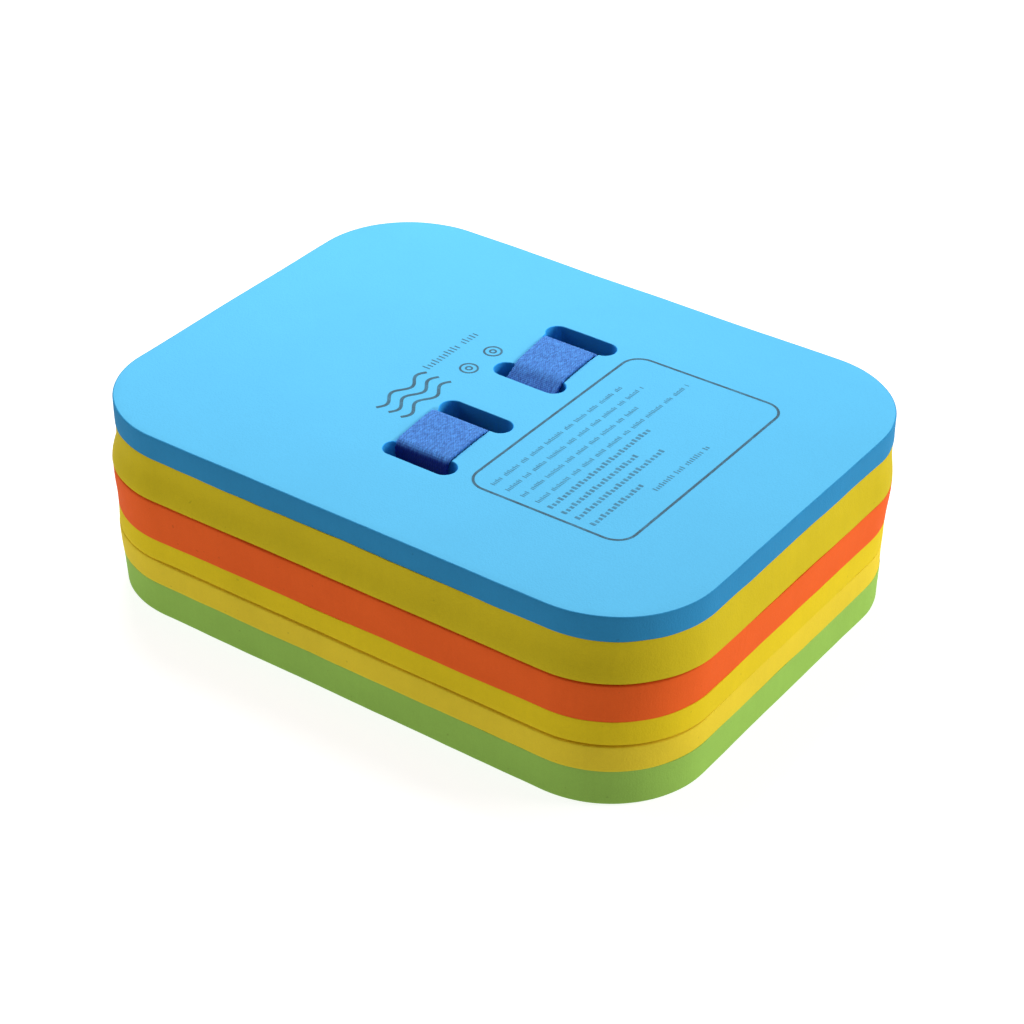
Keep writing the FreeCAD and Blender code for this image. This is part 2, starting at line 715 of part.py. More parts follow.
def build_print_mark():
    """A plain mark of three wave lines, with two bars and two dots beside it."""
    ink = size("ink_thick")
    stroke, swing, crest_bend = 1.5, 2.0, 3.2
    crests, step, start = 4, size("wave_step"), size("mark_start")
    marks = []
    for place in (-36.5, -30.3, -24.1):
        path = [(place, start, 0)]
        for k in range(crests):
            side = swing if k % 2 == 0 else -swing
            path.append((place + side, start + (k + 0.5) * step, crest_bend))
        path.append((place, start + crests * step, 0))
        marks.append(strip_solid(path, stroke, Vector(0, 0, ink), lambda p: Vector(p.x, p.y, 0)))
    bar_width, bar_place = 4.0, -41.0
    for along, length in ((0.0, 21.0), (24.0, 13.0)):
        marks.append(Part.makeBox(bar_width, length, ink, Vector(bar_place, along, 0)))
    for along in (10.0, 27.0):
        marks.append(Part.makeCylinder(size("dot_radius"), ink, Vector(-24.5, along, 0)))
    ink_solids("print_mark", marks)


# ---------------------------------------------------------------- build, check and write

build_boards()
hank_layers, loop_out = build_belt()
build_band(hank_layers)
build_socket()
build_plug()
build_prongs()
build_bartack(loop_out, hank_layers)
build_print_frame()
build_print_lines()
build_print_mark()
doc.recompute()

for obj in doc.Objects:
    if "Invalid" in obj.State or "Error" in obj.State:
        raise RuntimeError(f"{obj.Name} is in state {obj.State}")
for part in nodes:
    if part.Shape.isNull() or not part.Shape.isValid():
        raise RuntimeError(f"{part.Label} has no valid shape")

os.makedirs("parts", exist_ok=True)
for part in nodes:
    part.Shape.exportStep(f"parts/{part.Label}.step")
    box = part.Shape.BoundBox
    print(f"{part.Label:28s} {len(part.Shape.Solids)} solids {part.Shape.Volume:12.1f} mm3  "
          f"x {box.XMin:.1f}..{box.XMax:.1f} y {box.YMin:.1f}..{box.YMax:.1f} "
          f"z {box.ZMin:.2f}..{box.ZMax:.2f}")
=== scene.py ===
import json
import math

import bmesh
import bpy
import numpy as np
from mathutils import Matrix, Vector, noise
from mathutils.geometry import delaunay_2d_cdt


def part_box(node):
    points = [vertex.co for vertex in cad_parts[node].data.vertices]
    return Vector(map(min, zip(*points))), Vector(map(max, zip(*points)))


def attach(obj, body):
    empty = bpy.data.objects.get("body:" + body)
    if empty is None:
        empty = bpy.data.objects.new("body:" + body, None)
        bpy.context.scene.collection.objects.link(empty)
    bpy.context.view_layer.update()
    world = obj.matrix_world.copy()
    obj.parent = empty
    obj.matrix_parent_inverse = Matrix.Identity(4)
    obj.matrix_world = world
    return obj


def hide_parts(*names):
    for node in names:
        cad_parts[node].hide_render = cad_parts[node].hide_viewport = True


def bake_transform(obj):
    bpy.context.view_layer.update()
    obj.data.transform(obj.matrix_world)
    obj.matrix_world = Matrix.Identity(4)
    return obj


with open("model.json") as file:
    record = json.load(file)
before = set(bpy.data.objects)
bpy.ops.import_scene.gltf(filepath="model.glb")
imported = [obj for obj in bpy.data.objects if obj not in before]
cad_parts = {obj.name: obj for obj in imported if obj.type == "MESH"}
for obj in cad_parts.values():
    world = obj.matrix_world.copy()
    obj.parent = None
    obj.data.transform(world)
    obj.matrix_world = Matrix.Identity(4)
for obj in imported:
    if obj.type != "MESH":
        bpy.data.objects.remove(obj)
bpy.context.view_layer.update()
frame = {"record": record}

MM = 0.001

# ------------------------------------------------------------------ sizes, in metres

CORNER = 45 * MM              # plan radius of every board
SLOT_LENGTH = 34 * MM
SLOT_WIDTH = 10.5 * MM
SLOT_PITCH = 37.6 * MM
SLOT_REACH = SLOT_LENGTH / 2 - SLOT_WIDTH / 2     # half the straight part of a slot
SLOTS = [(k - 1.5) * SLOT_PITCH for k in range(4)]
WEBBING = 25 * MM
WEBBING_THICK = 1.4 * MM
OFF_WALL = 0.3 * MM + WEBBING_THICK / 2
BED_HALF = 13.5 * MM
BED_DEPTH = 3.2 * MM

BLUE = "top_board_blue_sheet"
TOP_YELLOW = "top_board_yellow_sheet"
ORANGE = "middle_board_orange_sheet"
MID_YELLOW = "middle_board_yellow_sheet"
LOW_YELLOW = "bottom_board_yellow_sheet"
GREEN = "bottom_board_green_sheet"

OUTLINE_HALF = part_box(BLUE)[1]
TOP = OUTLINE_HALF.z
EDGE_Y = OUTLINE_HALF.y
# The belt is cut inside the middle board, so that each length bends across one joint only.
BELT_CUT = (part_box(MID_YELLOW)[0].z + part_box(ORANGE)[1].z) / 2 + 3 * MM
LEG_FOOT = 6 * MM

# ------------------------------------------------------------------ small helpers


def clamped(part):
    return min(1.0, max(0.0, part))


def eased(part):
    """Runs smoothly from 0 to 1 as part does."""
    part = clamped(part)
    return part * part * (3 - 2 * part)


def record_colour(slot):
    material = next(m for m in frame["record"]["materials"] if m["slot"] == slot)
    return list(material["base_color"])[:3]


def linked(name, data):
    """A new object in the scene."""
    made = bpy.data.objects.new(name, data)
    bpy.context.scene.collection.objects.link(made)
    return made


# ------------------------------------------------------------------ node materials


class Shader:
    """A Principled material and short ways to add and join its nodes."""

    def __init__(self, name, slot, **inputs):
        self.material = bpy.data.materials.new(name)
        self.material.use_nodes = True
        self.tree = self.material.node_tree
        self.principled = self.tree.nodes["Principled BSDF"]
        self.base = record_colour(slot)
        self.material.diffuse_color = (*self.base, 1)
        for socket, value in inputs.items():
            self.principled.inputs[socket.replace("_", " ")].default_value = value

    def node(self, kind, settings=None, **inputs):
        made = self.tree.nodes.new("ShaderNode" + kind)
        for name, value in (settings or {}).items():
            setattr(made, name, value)
        for name, value in inputs.items():
            self.feed(made.inputs[name.replace("_", " ")], value)
        return made

    def feed(self, socket, value):
        if isinstance(value, bpy.types.NodeSocket):
            self.tree.links.new(value, socket)
        else:
            socket.default_value = value

    def math(self, operation, first, second=0.0, clamp=False):
        made = self.node("Math", {"operation": operation, "use_clamp": clamp})
        self.feed(made.inputs[0], first)
        self.feed(made.inputs[1], second)
        return made.outputs[0]

    def ramp(self, value, low, high, to_low=0.0, to_high=1.0):
        made = self.node("MapRange", {"clamp": True}, Value=value)
        for name, number in (("From Min", low), ("From Max", high),
                             ("To Min", to_low), ("To Max", to_high)):
            made.inputs[name].default_value = number
        return made.outputs[0]

    def tint(self, factor, first, second):
        made = self.node("Mix", {"data_type": "RGBA"})
        self.feed(made.inputs["Factor"], factor)
        self.feed(made.inputs[6], first)
        self.feed(made.inputs[7], second)
        return made.outputs[2]

    def place(self, scale=(1, 1, 1)):
        """Object coordinates in metres, stretched by scale."""
        coordinates = self.node("TexCoord").outputs["Object"]
        return self.node("Mapping", Vector=coordinates, Scale=scale).outputs["Vector"]

    def attribute(self, name):
        """A number that the mesh holds at each point."""
        return self.node("Attribute", {"attribute_name": name}).outputs["Fac"]

    def wave(self, value, frequency):
        """A sine of value, from 0 to 1."""
        return self.ramp(self.math("SINE", self.math("MULTIPLY", value, frequency)), -1.0, 1.0)

    def mixed(self, first, second, share):
        """first and second added up, with share of the first."""
        return self.math("ADD", self.math("MULTIPLY", first, share),
                         self.math("MULTIPLY", second, 1 - share))

    def noise(self, vector, scale, detail=2.0, roughness=0.5):
        made = self.node("TexNoise", Vector=vector, Scale=scale, Detail=detail, Roughness=roughness)
        return made.outputs["Fac"]

    def bump(self, height, distance, strength=1.0, after=None):
        made = self.node("Bump", Height=height, Distance=distance, Strength=strength)
        if after is not None:
            self.feed(made.inputs["Normal"], after)
        return made.outputs["Normal"]

    def shade(self, colour=None, roughness=None, normal=None):
        for socket, value in (("Base Color", colour), ("Roughness", roughness),
                              ("Normal", normal)):
            if value is not None:
                self.feed(self.principled.inputs[socket], value)
        return self.material


def scaled(colour, factor):
    return (*(min(1.0, c * factor) for c in colour), 1.0)


def foam_material(name, slot, skin=False, shade=(1.0, 1.0, 1.0), painted_end_light=None):
    """Closed-cell foam: fine cells and a soft mottle, with the press's faint linen grain on a skin
    and the knife's drag lines on a cut edge. shade multiplies the slot's colour, giving a sheet
    its own tone or a darker copy as painted shade, and the last argument multiplies it again
    towards the slots' round ends, as painted light there."""
    s = Shader(name, slot, Sheen_Weight=0.0, Specular_IOR_Level=0.06)
    base = [c * k for c, k in zip(s.base, shade)]
    where = s.place()
    mottle = s.noise(where, 30.0, 4.0, 0.6)
    cloud = s.ramp(mottle, 0.3, 0.7)
    cells = s.node("TexVoronoi", {"feature": "F1"}, Vector=where, Scale=1250.0, Randomness=1.0)
    pore = s.ramp(cells.outputs["Distance"], 0.25, 0.75)
    grain = s.noise(where, 2300.0, 2.0, 0.6)
    speck = s.ramp(grain, 0.35, 0.7)
    swing = 0.015 if skin else 0.05
    body = s.tint(cloud, scaled(base, 1 - swing), scaled(base, 1 + swing))
    # Painted shade: darker in the grooves where the cells' bump is lowest.
    colour = s.tint(s.math("MULTIPLY", pore, 0.10), body, scaled(base, 0.72))
    colour = s.tint(s.math("MULTIPLY", speck, 0.16), colour, scaled(base, 1.25))
    rough = s.ramp(grain, 0.2, 0.8, 0.6, 0.8)
    pressed = s.bump(s.math("MULTIPLY", pore, -1.0), 0.00010, 0.35)
    pressed = s.bump(grain, 0.00006, 0.35, pressed)
    if skin:
        along = s.noise(s.place((1.0, 0.18, 1.0)), 1500.0, 2.0, 0.55)
        across = s.noise(s.place((0.18, 1.0, 1.0)), 1500.0, 2.0, 0.55)
        linen = s.math("ADD", along, across)
        pressed = s.bump(linen, 0.00010, 0.4, pressed)
        thread = s.ramp(linen, 0.8, 1.2)
        colour = s.tint(s.math("MULTIPLY", thread, 0.08), colour, scaled(base, 1.16))
    else:
        drag = s.noise(s.place((1.0, 1.0, 0.06)), 420.0, 2.0, 0.5)
        pressed = s.bump(drag, 0.00016, 0.35, pressed)
        streak = s.ramp(drag, 0.4, 0.75)
        colour = s.tint(s.math("MULTIPLY", streak, 0.10), colour, scaled(base, 0.82))
        # A few cells that the knife opened wide show as dark specks: painted shade in those open cells.
        open_cell_shade = s.ramp(s.noise(where, 420.0, 1.0, 0.4), 0.765, 0.80)
        colour = s.tint(s.math("MULTIPLY", open_cell_shade, 0.3), colour, scaled(base, 0.5))
    # Painted light: the slot walls are brightened towards the slots' round ends.
    if painted_end_light:
        from_middle = s.math("ABSOLUTE", s.node("SeparateXYZ", Vector=where).outputs["X"])
        lit_round_end = s.ramp(from_middle, SLOT_REACH + 0.05 * MM, SLOT_LENGTH / 2 - 0.2 * MM)
        colour = s.tint(lit_round_end, colour, scaled(base, painted_end_light))
    return s.shade(colour, rough, pressed)


def webbing_material():
    """Woven belt: slanting twill ribs crossed by picks, under a nap of short broken fibres."""
    s = Shader("belt_webbing", "webbing", Sheen_Weight=0.12, Sheen_Roughness=0.4,
               Sheen_Tint=(0.5, 0.7, 1.0, 1.0), Specular_IOR_Level=0.2)
    along, across = s.attribute("along"), s.attribute("across")
    slant = s.math("ADD", s.math("MULTIPLY", across, 5600.0), s.math("MULTIPLY", along, 3900.0))
    weave = s.mixed(s.wave(slant, 1.0), s.wave(along, 7800.0), 0.65)
    laid = s.node("CombineXYZ", X=across, Y=s.math("MULTIPLY", along, 0.3)).outputs["Vector"]
    nap = s.noise(laid, 2600.0, 3.0, 0.65)
    fuzz = s.noise(s.place(), 3200.0, 3.0, 0.65)
    wash = s.ramp(s.noise(s.place(), 120.0, 2.0, 0.5), 0.3, 0.7)
    body = s.tint(wash, scaled(s.base, 0.94), scaled(s.base, 1.06))
    # Darker between the ribs: painted shade in the weave's hollows.
    colour = s.tint(s.ramp(weave, 0.15, 0.8, 0.4, 0.0), body, scaled(s.base, 0.5))
    tuft = s.noise(laid, 1100.0, 3.0, 0.6)
    colour = s.tint(s.ramp(tuft, 0.45, 0.68, 0.0, 0.6), colour, (0.10, 0.38, 0.94, 1.0))
    colour = s.tint(s.ramp(nap, 0.50, 0.72, 0.0, 0.6), colour, (0.11, 0.40, 0.96, 1.0))
    colour = s.tint(s.ramp(tuft, 0.36, 0.48, 0.4, 0.0), colour, scaled(s.base, 0.55))
    colour = s.tint(s.ramp(nap, 0.30, 0.48, 0.5, 0.0), colour, scaled(s.base, 0.45))
    # Painted shadow: the shadow attribute darkens the belt towards deep navy inside the slots.
    colour = s.tint(s.attribute("shadow"), colour, (0.001, 0.010, 0.22, 1.0))
    woven = s.bump(weave, 0.00028, 0.7)
    woven = s.bump(s.math("ADD", fuzz, nap), 0.00014, 0.6, woven)
    return s.shade(colour, s.ramp(fuzz, 0.2, 0.8, 0.7, 0.9), woven)


def elastic_material():
    """Flat knitted elastic: fine cords along it, and rubber lines across."""
    s = Shader("elastic_band", "elastic", Sheen_Weight=0.3, Sheen_Roughness=0.4)
    knit = s.mixed(s.wave(s.attribute("across"), 6300.0), s.wave(s.attribute("along"), 9000.0), 0.6)
    fuzz = s.noise(s.place(), 2600.0, 3.0, 0.6)
    colour = s.tint(knit, scaled(s.base, 0.6), (0.065, 0.065, 0.075, 1.0))
    colour = s.tint(s.ramp(fuzz, 0.55, 0.8, 0.0, 0.4), colour, (0.12, 0.12, 0.14, 1.0))
    return s.shade(colour, s.ramp(fuzz, 0.2, 0.8, 0.6, 0.8), s.bump(knit, 0.0002, 0.8))


def plastic_material():
    """Moulded acetal: a fine spark texture, slightly worn where it is handled."""
    s = Shader("buckle_acetal", "buckle_plastic", Specular_IOR_Level=0.32)
    where = s.place()
    spark = s.noise(where, 2600.0, 3.0, 0.6)
    cloud = s.noise(where, 90.0, 3.0, 0.6)
    wear = s.ramp(cloud, 0.55, 0.8)
    colour = s.tint(s.math("MULTIPLY", wear, 0.5), scaled(s.base, 1.0), (0.05, 0.05, 0.054, 1.0))
    rough = s.math("ADD", s.ramp(spark, 0.3, 0.7, 0.42, 0.54), s.math("MULTIPLY", wear, 0.10))
    return s.shade(colour, rough, s.bump(spark, 0.00005, 0.5))


def thread_material():
    s = Shader("tack_thread", "thread", Sheen_Weight=0.3, Sheen_Roughness=0.3)
    twist = s.noise(s.place((1.0, 1.0, 3.0)), 2400.0, 2.0, 0.5)
    colour = s.tint(s.ramp(twist, 0.35, 0.7), scaled(s.base, 0.6), scaled(s.base, 1.5))
    return s.shade(colour, s.ramp(twist, 0.2, 0.8, 0.4, 0.65), s.bump(twist, 0.0001, 0.8))


def ink_material(name, strength):
    """Screen-printed ink that thins out over the foam's grain, so the blue shows through."""
    s = Shader(name, "ink", Specular_IOR_Level=0.06)
    under = (*record_colour("foam_blue"), 1.0)
    grain = s.noise(s.place(), 2300.0, 2.0, 0.6)
    cloud = s.noise(s.place(), 160.0, 2.0, 0.5)
    thin = s.math("ADD", s.ramp(grain, 0.45, 0.75, 0.0, 0.35), s.ramp(cloud, 0.4, 0.8, 0.0, 0.2))
    show = s.math("ADD", thin, 1.0 - strength, clamp=True)
    colour = s.tint(show, (*s.base, 1.0), under)
    return s.shade(colour, s.ramp(grain, 0.2, 0.8, 0.6, 0.8), s.bump(grain, 0.00008, 0.5))


# ------------------------------------------------------------------ mesh helpers


def mesh_object(name, points, faces, material, smooth_angle=40):
    mesh = bpy.data.meshes.new(name)
    mesh.from_pydata([tuple(p) for p in points], [], faces)
    work = bmesh.new()
    work.from_mesh(mesh)
    bmesh.ops.recalc_face_normals(work, faces=work.faces)
    work.to_mesh(mesh)
    work.free()
    mesh.shade_smooth()
    mesh.set_sharp_from_angle(angle=math.radians(smooth_angle))
    mesh.materials.append(material)
    return linked(name, mesh)


def band(first, second, count):
    """Four-sided faces between two closed rings of count points."""
    found = []
    for k in range(count):
        j = (k + 1) % count
        found.append([first + k, first + j, second + j, second + k])
    return found


def prism(outline, low, high):
    """Points and faces of an upright prism over an outline of (x, y)."""
    count = len(outline)
    points = [(x, y, z) for z in (low, high) for x, y in outline]
    return points, band(0, count, count) + [list(range(count)), list(range(count, 2 * count))]


def apply_modifiers(obj):
    """Turns the evaluated mesh into the object's own mesh."""
    graph = bpy.context.evaluated_depsgraph_get()
    done = bpy.data.meshes.new_from_object(obj.evaluated_get(graph))
    obj.modifiers.clear()
    obj.data = done
    return obj


def add_cut(obj, tool):
    cutter = obj.modifiers.new("cut", "BOOLEAN")
    cutter.operation = "DIFFERENCE"
    cutter.solver = "EXACT"
    cutter.object = tool


def wavy(x, y, seed, wavelength):
    """Smooth noise from about -1 to 1 over the plan."""
    return 1.6 * noise.noise(Vector((x / wavelength, y / wavelength, seed * 7.31)))


def rounded_loop(half_x, half_y, radius, count, centre=(0.0, 0.0)):
    """Evenly spaced points round a rounded rectangle, with the outward normal at each."""
    run_x, run_y = 2 * (half_x - radius), 2 * (half_y - radius)
    bend = radius * math.pi / 2
    total = 2 * (run_x + run_y) + 4 * bend
    corners = [(1, 1, 0.0, run_y), (-1, 1, 0.5, run_x), (-1, -1, 1.0, run_y), (1, -1, 1.5, run_x)]
    points, normals = [], []
    for k in range(count):
        along = total * k / count
        for sx, sy, start, run in corners:
            turn = start * math.pi
            middle = np.array([sx * (half_x - radius), sy * (half_y - radius)])
            out = np.array([math.cos(turn), math.sin(turn)])
            ahead = np.array([-out[1], out[0]])
            if along < run:
                spot = middle + out * radius - ahead * (run - along)
                points.append(spot)
                normals.append(out)
                break
            along -= run
            if along < bend:
                angle = turn + along / radius
                out = np.array([math.cos(angle), math.sin(angle)])
                points.append(middle + out * radius)
                normals.append(out)
                break
            along -= bend
    return np.array(points) + np.array(centre), np.array(normals)


# ------------------------------------------------------------------ foam sheets

# How far the cut edge stands out past the nominal outline at a height, at the -X end and at the
# +X end. The lowest board is rolled in at its foot, the boards swell towards their seams, and the
# top board is drawn in at its waist.
EDGE_SHAPE = [
    (0.0, -0.8 * MM, -0.4 * MM),                         # foot
    (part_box(MID_YELLOW)[0].z, 0.9 * MM, 0.0),            # lower seam
    (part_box(ORANGE)[0].z, 0.7 * MM, 0.0),                # waist of the middle board
    (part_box(TOP_YELLOW)[0].z, 1.7 * MM, 1.3 * MM),       # upper seam
    (TOP - 17 * MM, -0.6 * MM, 0.1 * MM),                # waist of the top board
    (TOP, 0.0, 0.3 * MM),                                # upper rim
]
TOP_FACE_SEED = 1
FACE_MESH, TOP_MESH, FINE_MESH = 16 * MM, 5 * MM, 0.9 * MM     # sizes of the faces' triangles
FINE_HALF = 22 * MM           # the fine mesh round a bridge reaches this far to each side
OUTER_COUNT = 420
SLOT_COUNT = 84
ROW_STEP = 2.0 * MM


def side_offset(x, z):
    """How far the edge stands out, eased from one height of its shape to the next."""
    above = next((k for k in range(1, len(EDGE_SHAPE)) if z <= EDGE_SHAPE[k][0]), -1)
    low, left_low, right_low = EDGE_SHAPE[above - 1]
    high, left_high, right_high = EDGE_SHAPE[above]
    part = eased((z - low) / (high - low))
    left = left_low + (left_high - left_low) * part
    right = right_low + (right_high - right_low) * part
    return left + (right - left) * eased(0.5 + 0.5 * x / OUTLINE_HALF.x)


def face_lift(x, y, seed):
    """The slight unevenness of a board's flat face."""
    return 0.13 * MM * wavy(x, y, seed, 55 * MM) + 0.02 * MM * wavy(x, y, seed + 2, 18 * MM)


def joint_lift(x, y, seed, swing, slope=0.0):
    """How far the bond between two colours wanders up and down."""
    wander = 0.7 * wavy(x, y, seed, 34 * MM) + 0.3 * wavy(x, y, seed + 5, 11 * MM)
    return swing * wander + slope * x


def edge_run(x, y):
    """Distance along the boards' edge: X along the -Y side, then round the corner to the +X
    side."""
    return x + y + EDGE_Y


def pressed_shut(x, y):
    """The boards lie tight together along their +X edge, and a little apart elsewhere."""
    return eased((edge_run(x, y) - 145 * MM) / (60 * MM))


def seam(seed, side, gape_from, gape_to, gape):
    """Height of a loose face at a seam. Both faces wander together, and side is 1 for the lower
    board's face and -1 for the upper board's. The boards gape a little at their edge, between
    gape_from and gape_to along its run."""
    def lift(x, y):
        near_edge = eased(1 + outside_board(x, y) / (22 * MM))
        run = edge_run(x, y)
        along = eased((run - gape_from) / (30 * MM)) * eased((gape_to - run) / (45 * MM))
        part = pressed_shut(x, y)
        return face_lift(x, y, seed) + side * (0.13 * MM * part - gape * near_edge * along)
    return lift


def wall_rows(low, high, ease_low, ease_high, steps=4, count=None):
    """(inset, height) up a wall whose ends are eased by quarter circles."""
    rows = []
    for k in range(steps):
        turn = (k / steps) * math.pi / 2
        rows.append((ease_low * (1 - math.sin(turn)), low + ease_low * (1 - math.cos(turn))))
    count = count or max(2, round((high - low - ease_low - ease_high) / ROW_STEP))
    for k in range(count + 1):
        rows.append((0.0, low + ease_low + (high - low - ease_low - ease_high) * k / count))
    for k in range(1, steps + 1):
        turn = (k / steps) * math.pi / 2
        rows.append((ease_high * (1 - math.cos(turn)), high - ease_high * (1 - math.sin(turn))))
    return rows


INSIDE_WITH_HOLES = 2         # delaunay_2d_cdt keeps only the triangles between the loops


def grid(low, high, spacing):
    """Points of a triangular grid over a rectangle."""
    row_step = spacing * math.sqrt(0.75)
    for row in range(int((high[1] - low[1]) / row_step) + 1):
        y = low[1] + row * row_step
        for column in range(int((high[0] - low[0]) / spacing) + 1):
            yield low[0] + (column + 0.5 * (row % 2)) * spacing, y


def cap(points, loops, level, spacing, faces, fine=None):
    """Fills the plane between an outer loop and four slot loops with near-equal triangles, and
    with much smaller ones of the size fine round the two bridges. loops holds the index lists of
    the boundary points, outermost first."""
    flat, owners, rings = [], [], []
    for loop in loops:
        rings.append(list(range(len(flat), len(flat) + len(loop))))
        flat += [Vector(points[index][:2]) for index in loop]
        owners += loop
    half_x, half_y = OUTLINE_HALF.x, OUTLINE_HALF.y
    fields = [((-half_x, -half_y), (half_x, half_y), spacing)]
    if fine:
        for bridge in BRIDGES:
            fields.append(((-FINE_HALF, bridge.start - 1 * MM), (FINE_HALF, bridge.end + 1 * MM), fine))
    for low, high, step in fields:
        for x, y in grid(low, high, step):
            if outside_board(x, y) > -step * 0.45:
                continue
            if min(outside_slot(x, y, c) for c in SLOTS) < step * 0.45 + lip_radius(x, y):
                continue
            if fine and step == spacing and near_bridge(x, y, step * 0.3):
                continue
            owners.append(len(points))
            points.append((x, y, level))
            flat.append(Vector((x, y)))
    _, _, triangles, sources, _, _ = delaunay_2d_cdt(flat, [], rings, INSIDE_WITH_HOLES, 1e-7)
    for triangle in triangles:
        faces.append([owners[sources[corner][0]] for corner in triangle])


def near_bridge(x, y, margin):
    margin += 1 * MM
    return any(abs(x) < FINE_HALF - 1 * MM + margin and bridge.start - margin < y < bridge.end + margin
               for bridge in BRIDGES)


def outside_board(x, y):
    """Distance outside the nominal outline, negative inside."""
    qx = abs(x) - (OUTLINE_HALF.x - CORNER)
    qy = abs(y) - (OUTLINE_HALF.y - CORNER)
    return math.hypot(max(qx, 0), max(qy, 0)) + min(max(qx, qy), 0) - CORNER


def outside_slot(x, y, centre):
    return math.hypot(max(abs(x) - SLOT_REACH, 0), y - centre) - SLOT_WIDTH / 2


class Bridge:
    """Where the belt crosses from one slot's lip to the next one's. Each pair of values holds at
    the first and the second lip: its place along Y, the belt's middle and width along X, the
    radius to which it rounds the foam's lip, and how deep it sinks in there."""

    def __init__(self, first_slot, middles, widths, radii, depths):
        self.start = SLOTS[first_slot] + SLOT_WIDTH / 2
        self.end = SLOTS[first_slot + 1] - SLOT_WIDTH / 2
        self.middles, self.widths, self.radii, self.depths = middles, widths, radii, depths

    def at(self, values, y):
        part = clamped((y - self.start) / (self.end - self.start))
        return values[0] + (values[1] - values[0]) * part

    def cover(self, x, y):
        """1 under the belt, easing to 0 just past its edges."""
        beside = abs(x - self.at(self.middles, y)) - self.at(self.widths, y) / 2
        beyond = max(self.start - y, y - self.end, 0.0)
        return eased(1 - beside / (0.9 * MM)) * eased(1 - beyond / (2 * MM))


BRIDGES = [Bridge(0, (-2.2 * MM, -3.8 * MM), (25.8 * MM, 26.8 * MM), (1.6 * MM, 2.6 * MM),
                  (1.1 * MM, 1.4 * MM)),
           Bridge(2, (0.6 * MM, -1.7 * MM), (24.0 * MM, 25.6 * MM), (1.8 * MM, 2.6 * MM),
                  (1.2 * MM, 1.3 * MM))]
SMALL_LIP = 0.3 * MM
CROWN_DEPTH = 0.8 * MM        # how deep the belt sinks in midway


def nearest_bridge(y):
    return min(BRIDGES, key=lambda bridge: abs(2 * y - bridge.start - bridge.end))


def lip_radius(x, y):
    """Rounding of a slot's upper lip."""
    bridge = nearest_bridge(y)
    return SMALL_LIP + (bridge.at(bridge.radii, y) - SMALL_LIP) * bridge.cover(x, y)


def dented(x, y):
    """The top face, pressed down under the belt near the slots' lips."""
    bridge = nearest_bridge(y)
    cover = bridge.cover(x, y)
    from_lip = max(0.0, min(y - bridge.start, bridge.end - y))
    at_lip = bridge.at(bridge.depths, y)
    depth = CROWN_DEPTH + (at_lip - CROWN_DEPTH) * eased(1 - from_lip / (8 * MM))
    return face_lift(x, y, TOP_FACE_SEED) * (1 - 0.7 * cover) - depth * cover


def outer_wall(loop, normals, low, high, ease, seed):
    """Rows of points up a sheet's cut edge, a little uneven from the knife."""
    rows = []
    for inset, z in wall_rows(low, high, *ease):
        row = []
        for spot, out in zip(loop, normals):
            rough = 0.22 * MM * wavy(spot[0] + 3 * z, spot[1], seed, 48 * MM)
            rough += 0.06 * MM * wavy(spot[0], spot[1] + z, seed + 3, 9 * MM)
            # Where two boards are pressed shut, their rims hardly round away.
            at_seam = 5 * MM < z < TOP - 2 * MM
            loose = 1 - 0.85 * pressed_shut(*spot) if at_seam else 1.0
            place = spot + out * (side_offset(spot[0], z) + rough - inset * loose)
            row.append((place[0], place[1], z))
        rows.append(row)
    return rows


def slot_wall(loop, normals, low, high, ease, seed, under_belt):
    """Rows of points up a slot's wall. Under the belt the upper lip is rounded further."""
    columns = [wall_rows(low, high, min(ease[0], SMALL_LIP),
                         lip_radius(*spot) if under_belt else min(ease[1], SMALL_LIP), 6, 8)
               for spot in loop]
    rows = []
    for level in zip(*columns):
        row = []
        for (inset, z), spot, out in zip(level, loop, normals):
            rough = 0.1 * MM * wavy(spot[0], spot[1] + z, seed, 12 * MM)
            row.append((*(spot + out * (inset + rough)), z))
        rows.append(row)
    return rows


def foam_sheet(name, node, materials, ease, lifts, seed, fine_top=False):
    """One sheet. materials holds its cut edge's, its face's and its slots'. ease is the rounding
    at its lower and upper rims, and lifts how far its lower and upper faces wander in height."""
    low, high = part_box(node)[0].z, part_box(node)[1].z
    outline = rounded_loop(OUTLINE_HALF.x, OUTLINE_HALF.y, CORNER, OUTER_COUNT)
    shells = [outer_wall(*outline, low, high, ease, seed)]
    for centre in SLOTS:
        slot = rounded_loop(SLOT_LENGTH / 2, SLOT_WIDTH / 2, SLOT_WIDTH / 2 - 1e-6, SLOT_COUNT,
                            (0.0, centre))
        shells.append(slot_wall(*slot, low, high, ease, seed, fine_top))
    points, faces, rims, walls = [], [], ([], []), []
    for rows in shells:
        count, first = len(rows[0]), len(points)
        last = first + (len(rows) - 1) * count
        for row in rows:
            points += row
        for start in range(first, last, count):
            faces += band(start, start + count, count)
        rims[0].append(list(range(first, first + count)))
        rims[1].append(list(range(last, last + count)))
        walls.append(len(faces))
    cap(points, rims[0], low, FACE_MESH, faces)
    if fine_top:
        cap(points, rims[1], high, TOP_MESH, faces, FINE_MESH)
    else:
        cap(points, rims[1], high, FACE_MESH, faces)
    placed = []
    for x, y, z in points:
        share = (z - low) / (high - low)
        placed.append((x, y, z + (1 - share) * lifts[0](x, y) + share * lifts[1](x, y)))
    sheet = mesh_object(name, placed, faces, materials[0])
    if len(materials) > 1:
        for material in materials[1:]:
            sheet.data.materials.append(material)
        for face in sheet.data.polygons:
            if face.index >= walls[-1]:
                face.material_index = 1
            elif face.index >= walls[0]:
                face.material_index = 2
    return sheet


def upper_seam(side):
    return seam(2, side, -150 * MM, 185 * MM, 0.26 * MM)


def lower_seam(side):
    return seam(4, side, -110 * MM, 205 * MM, 0.4 * MM)


def bond(seed, swing, slope=0.0):
    return lambda x, y: joint_lift(x, y, seed, swing, slope)


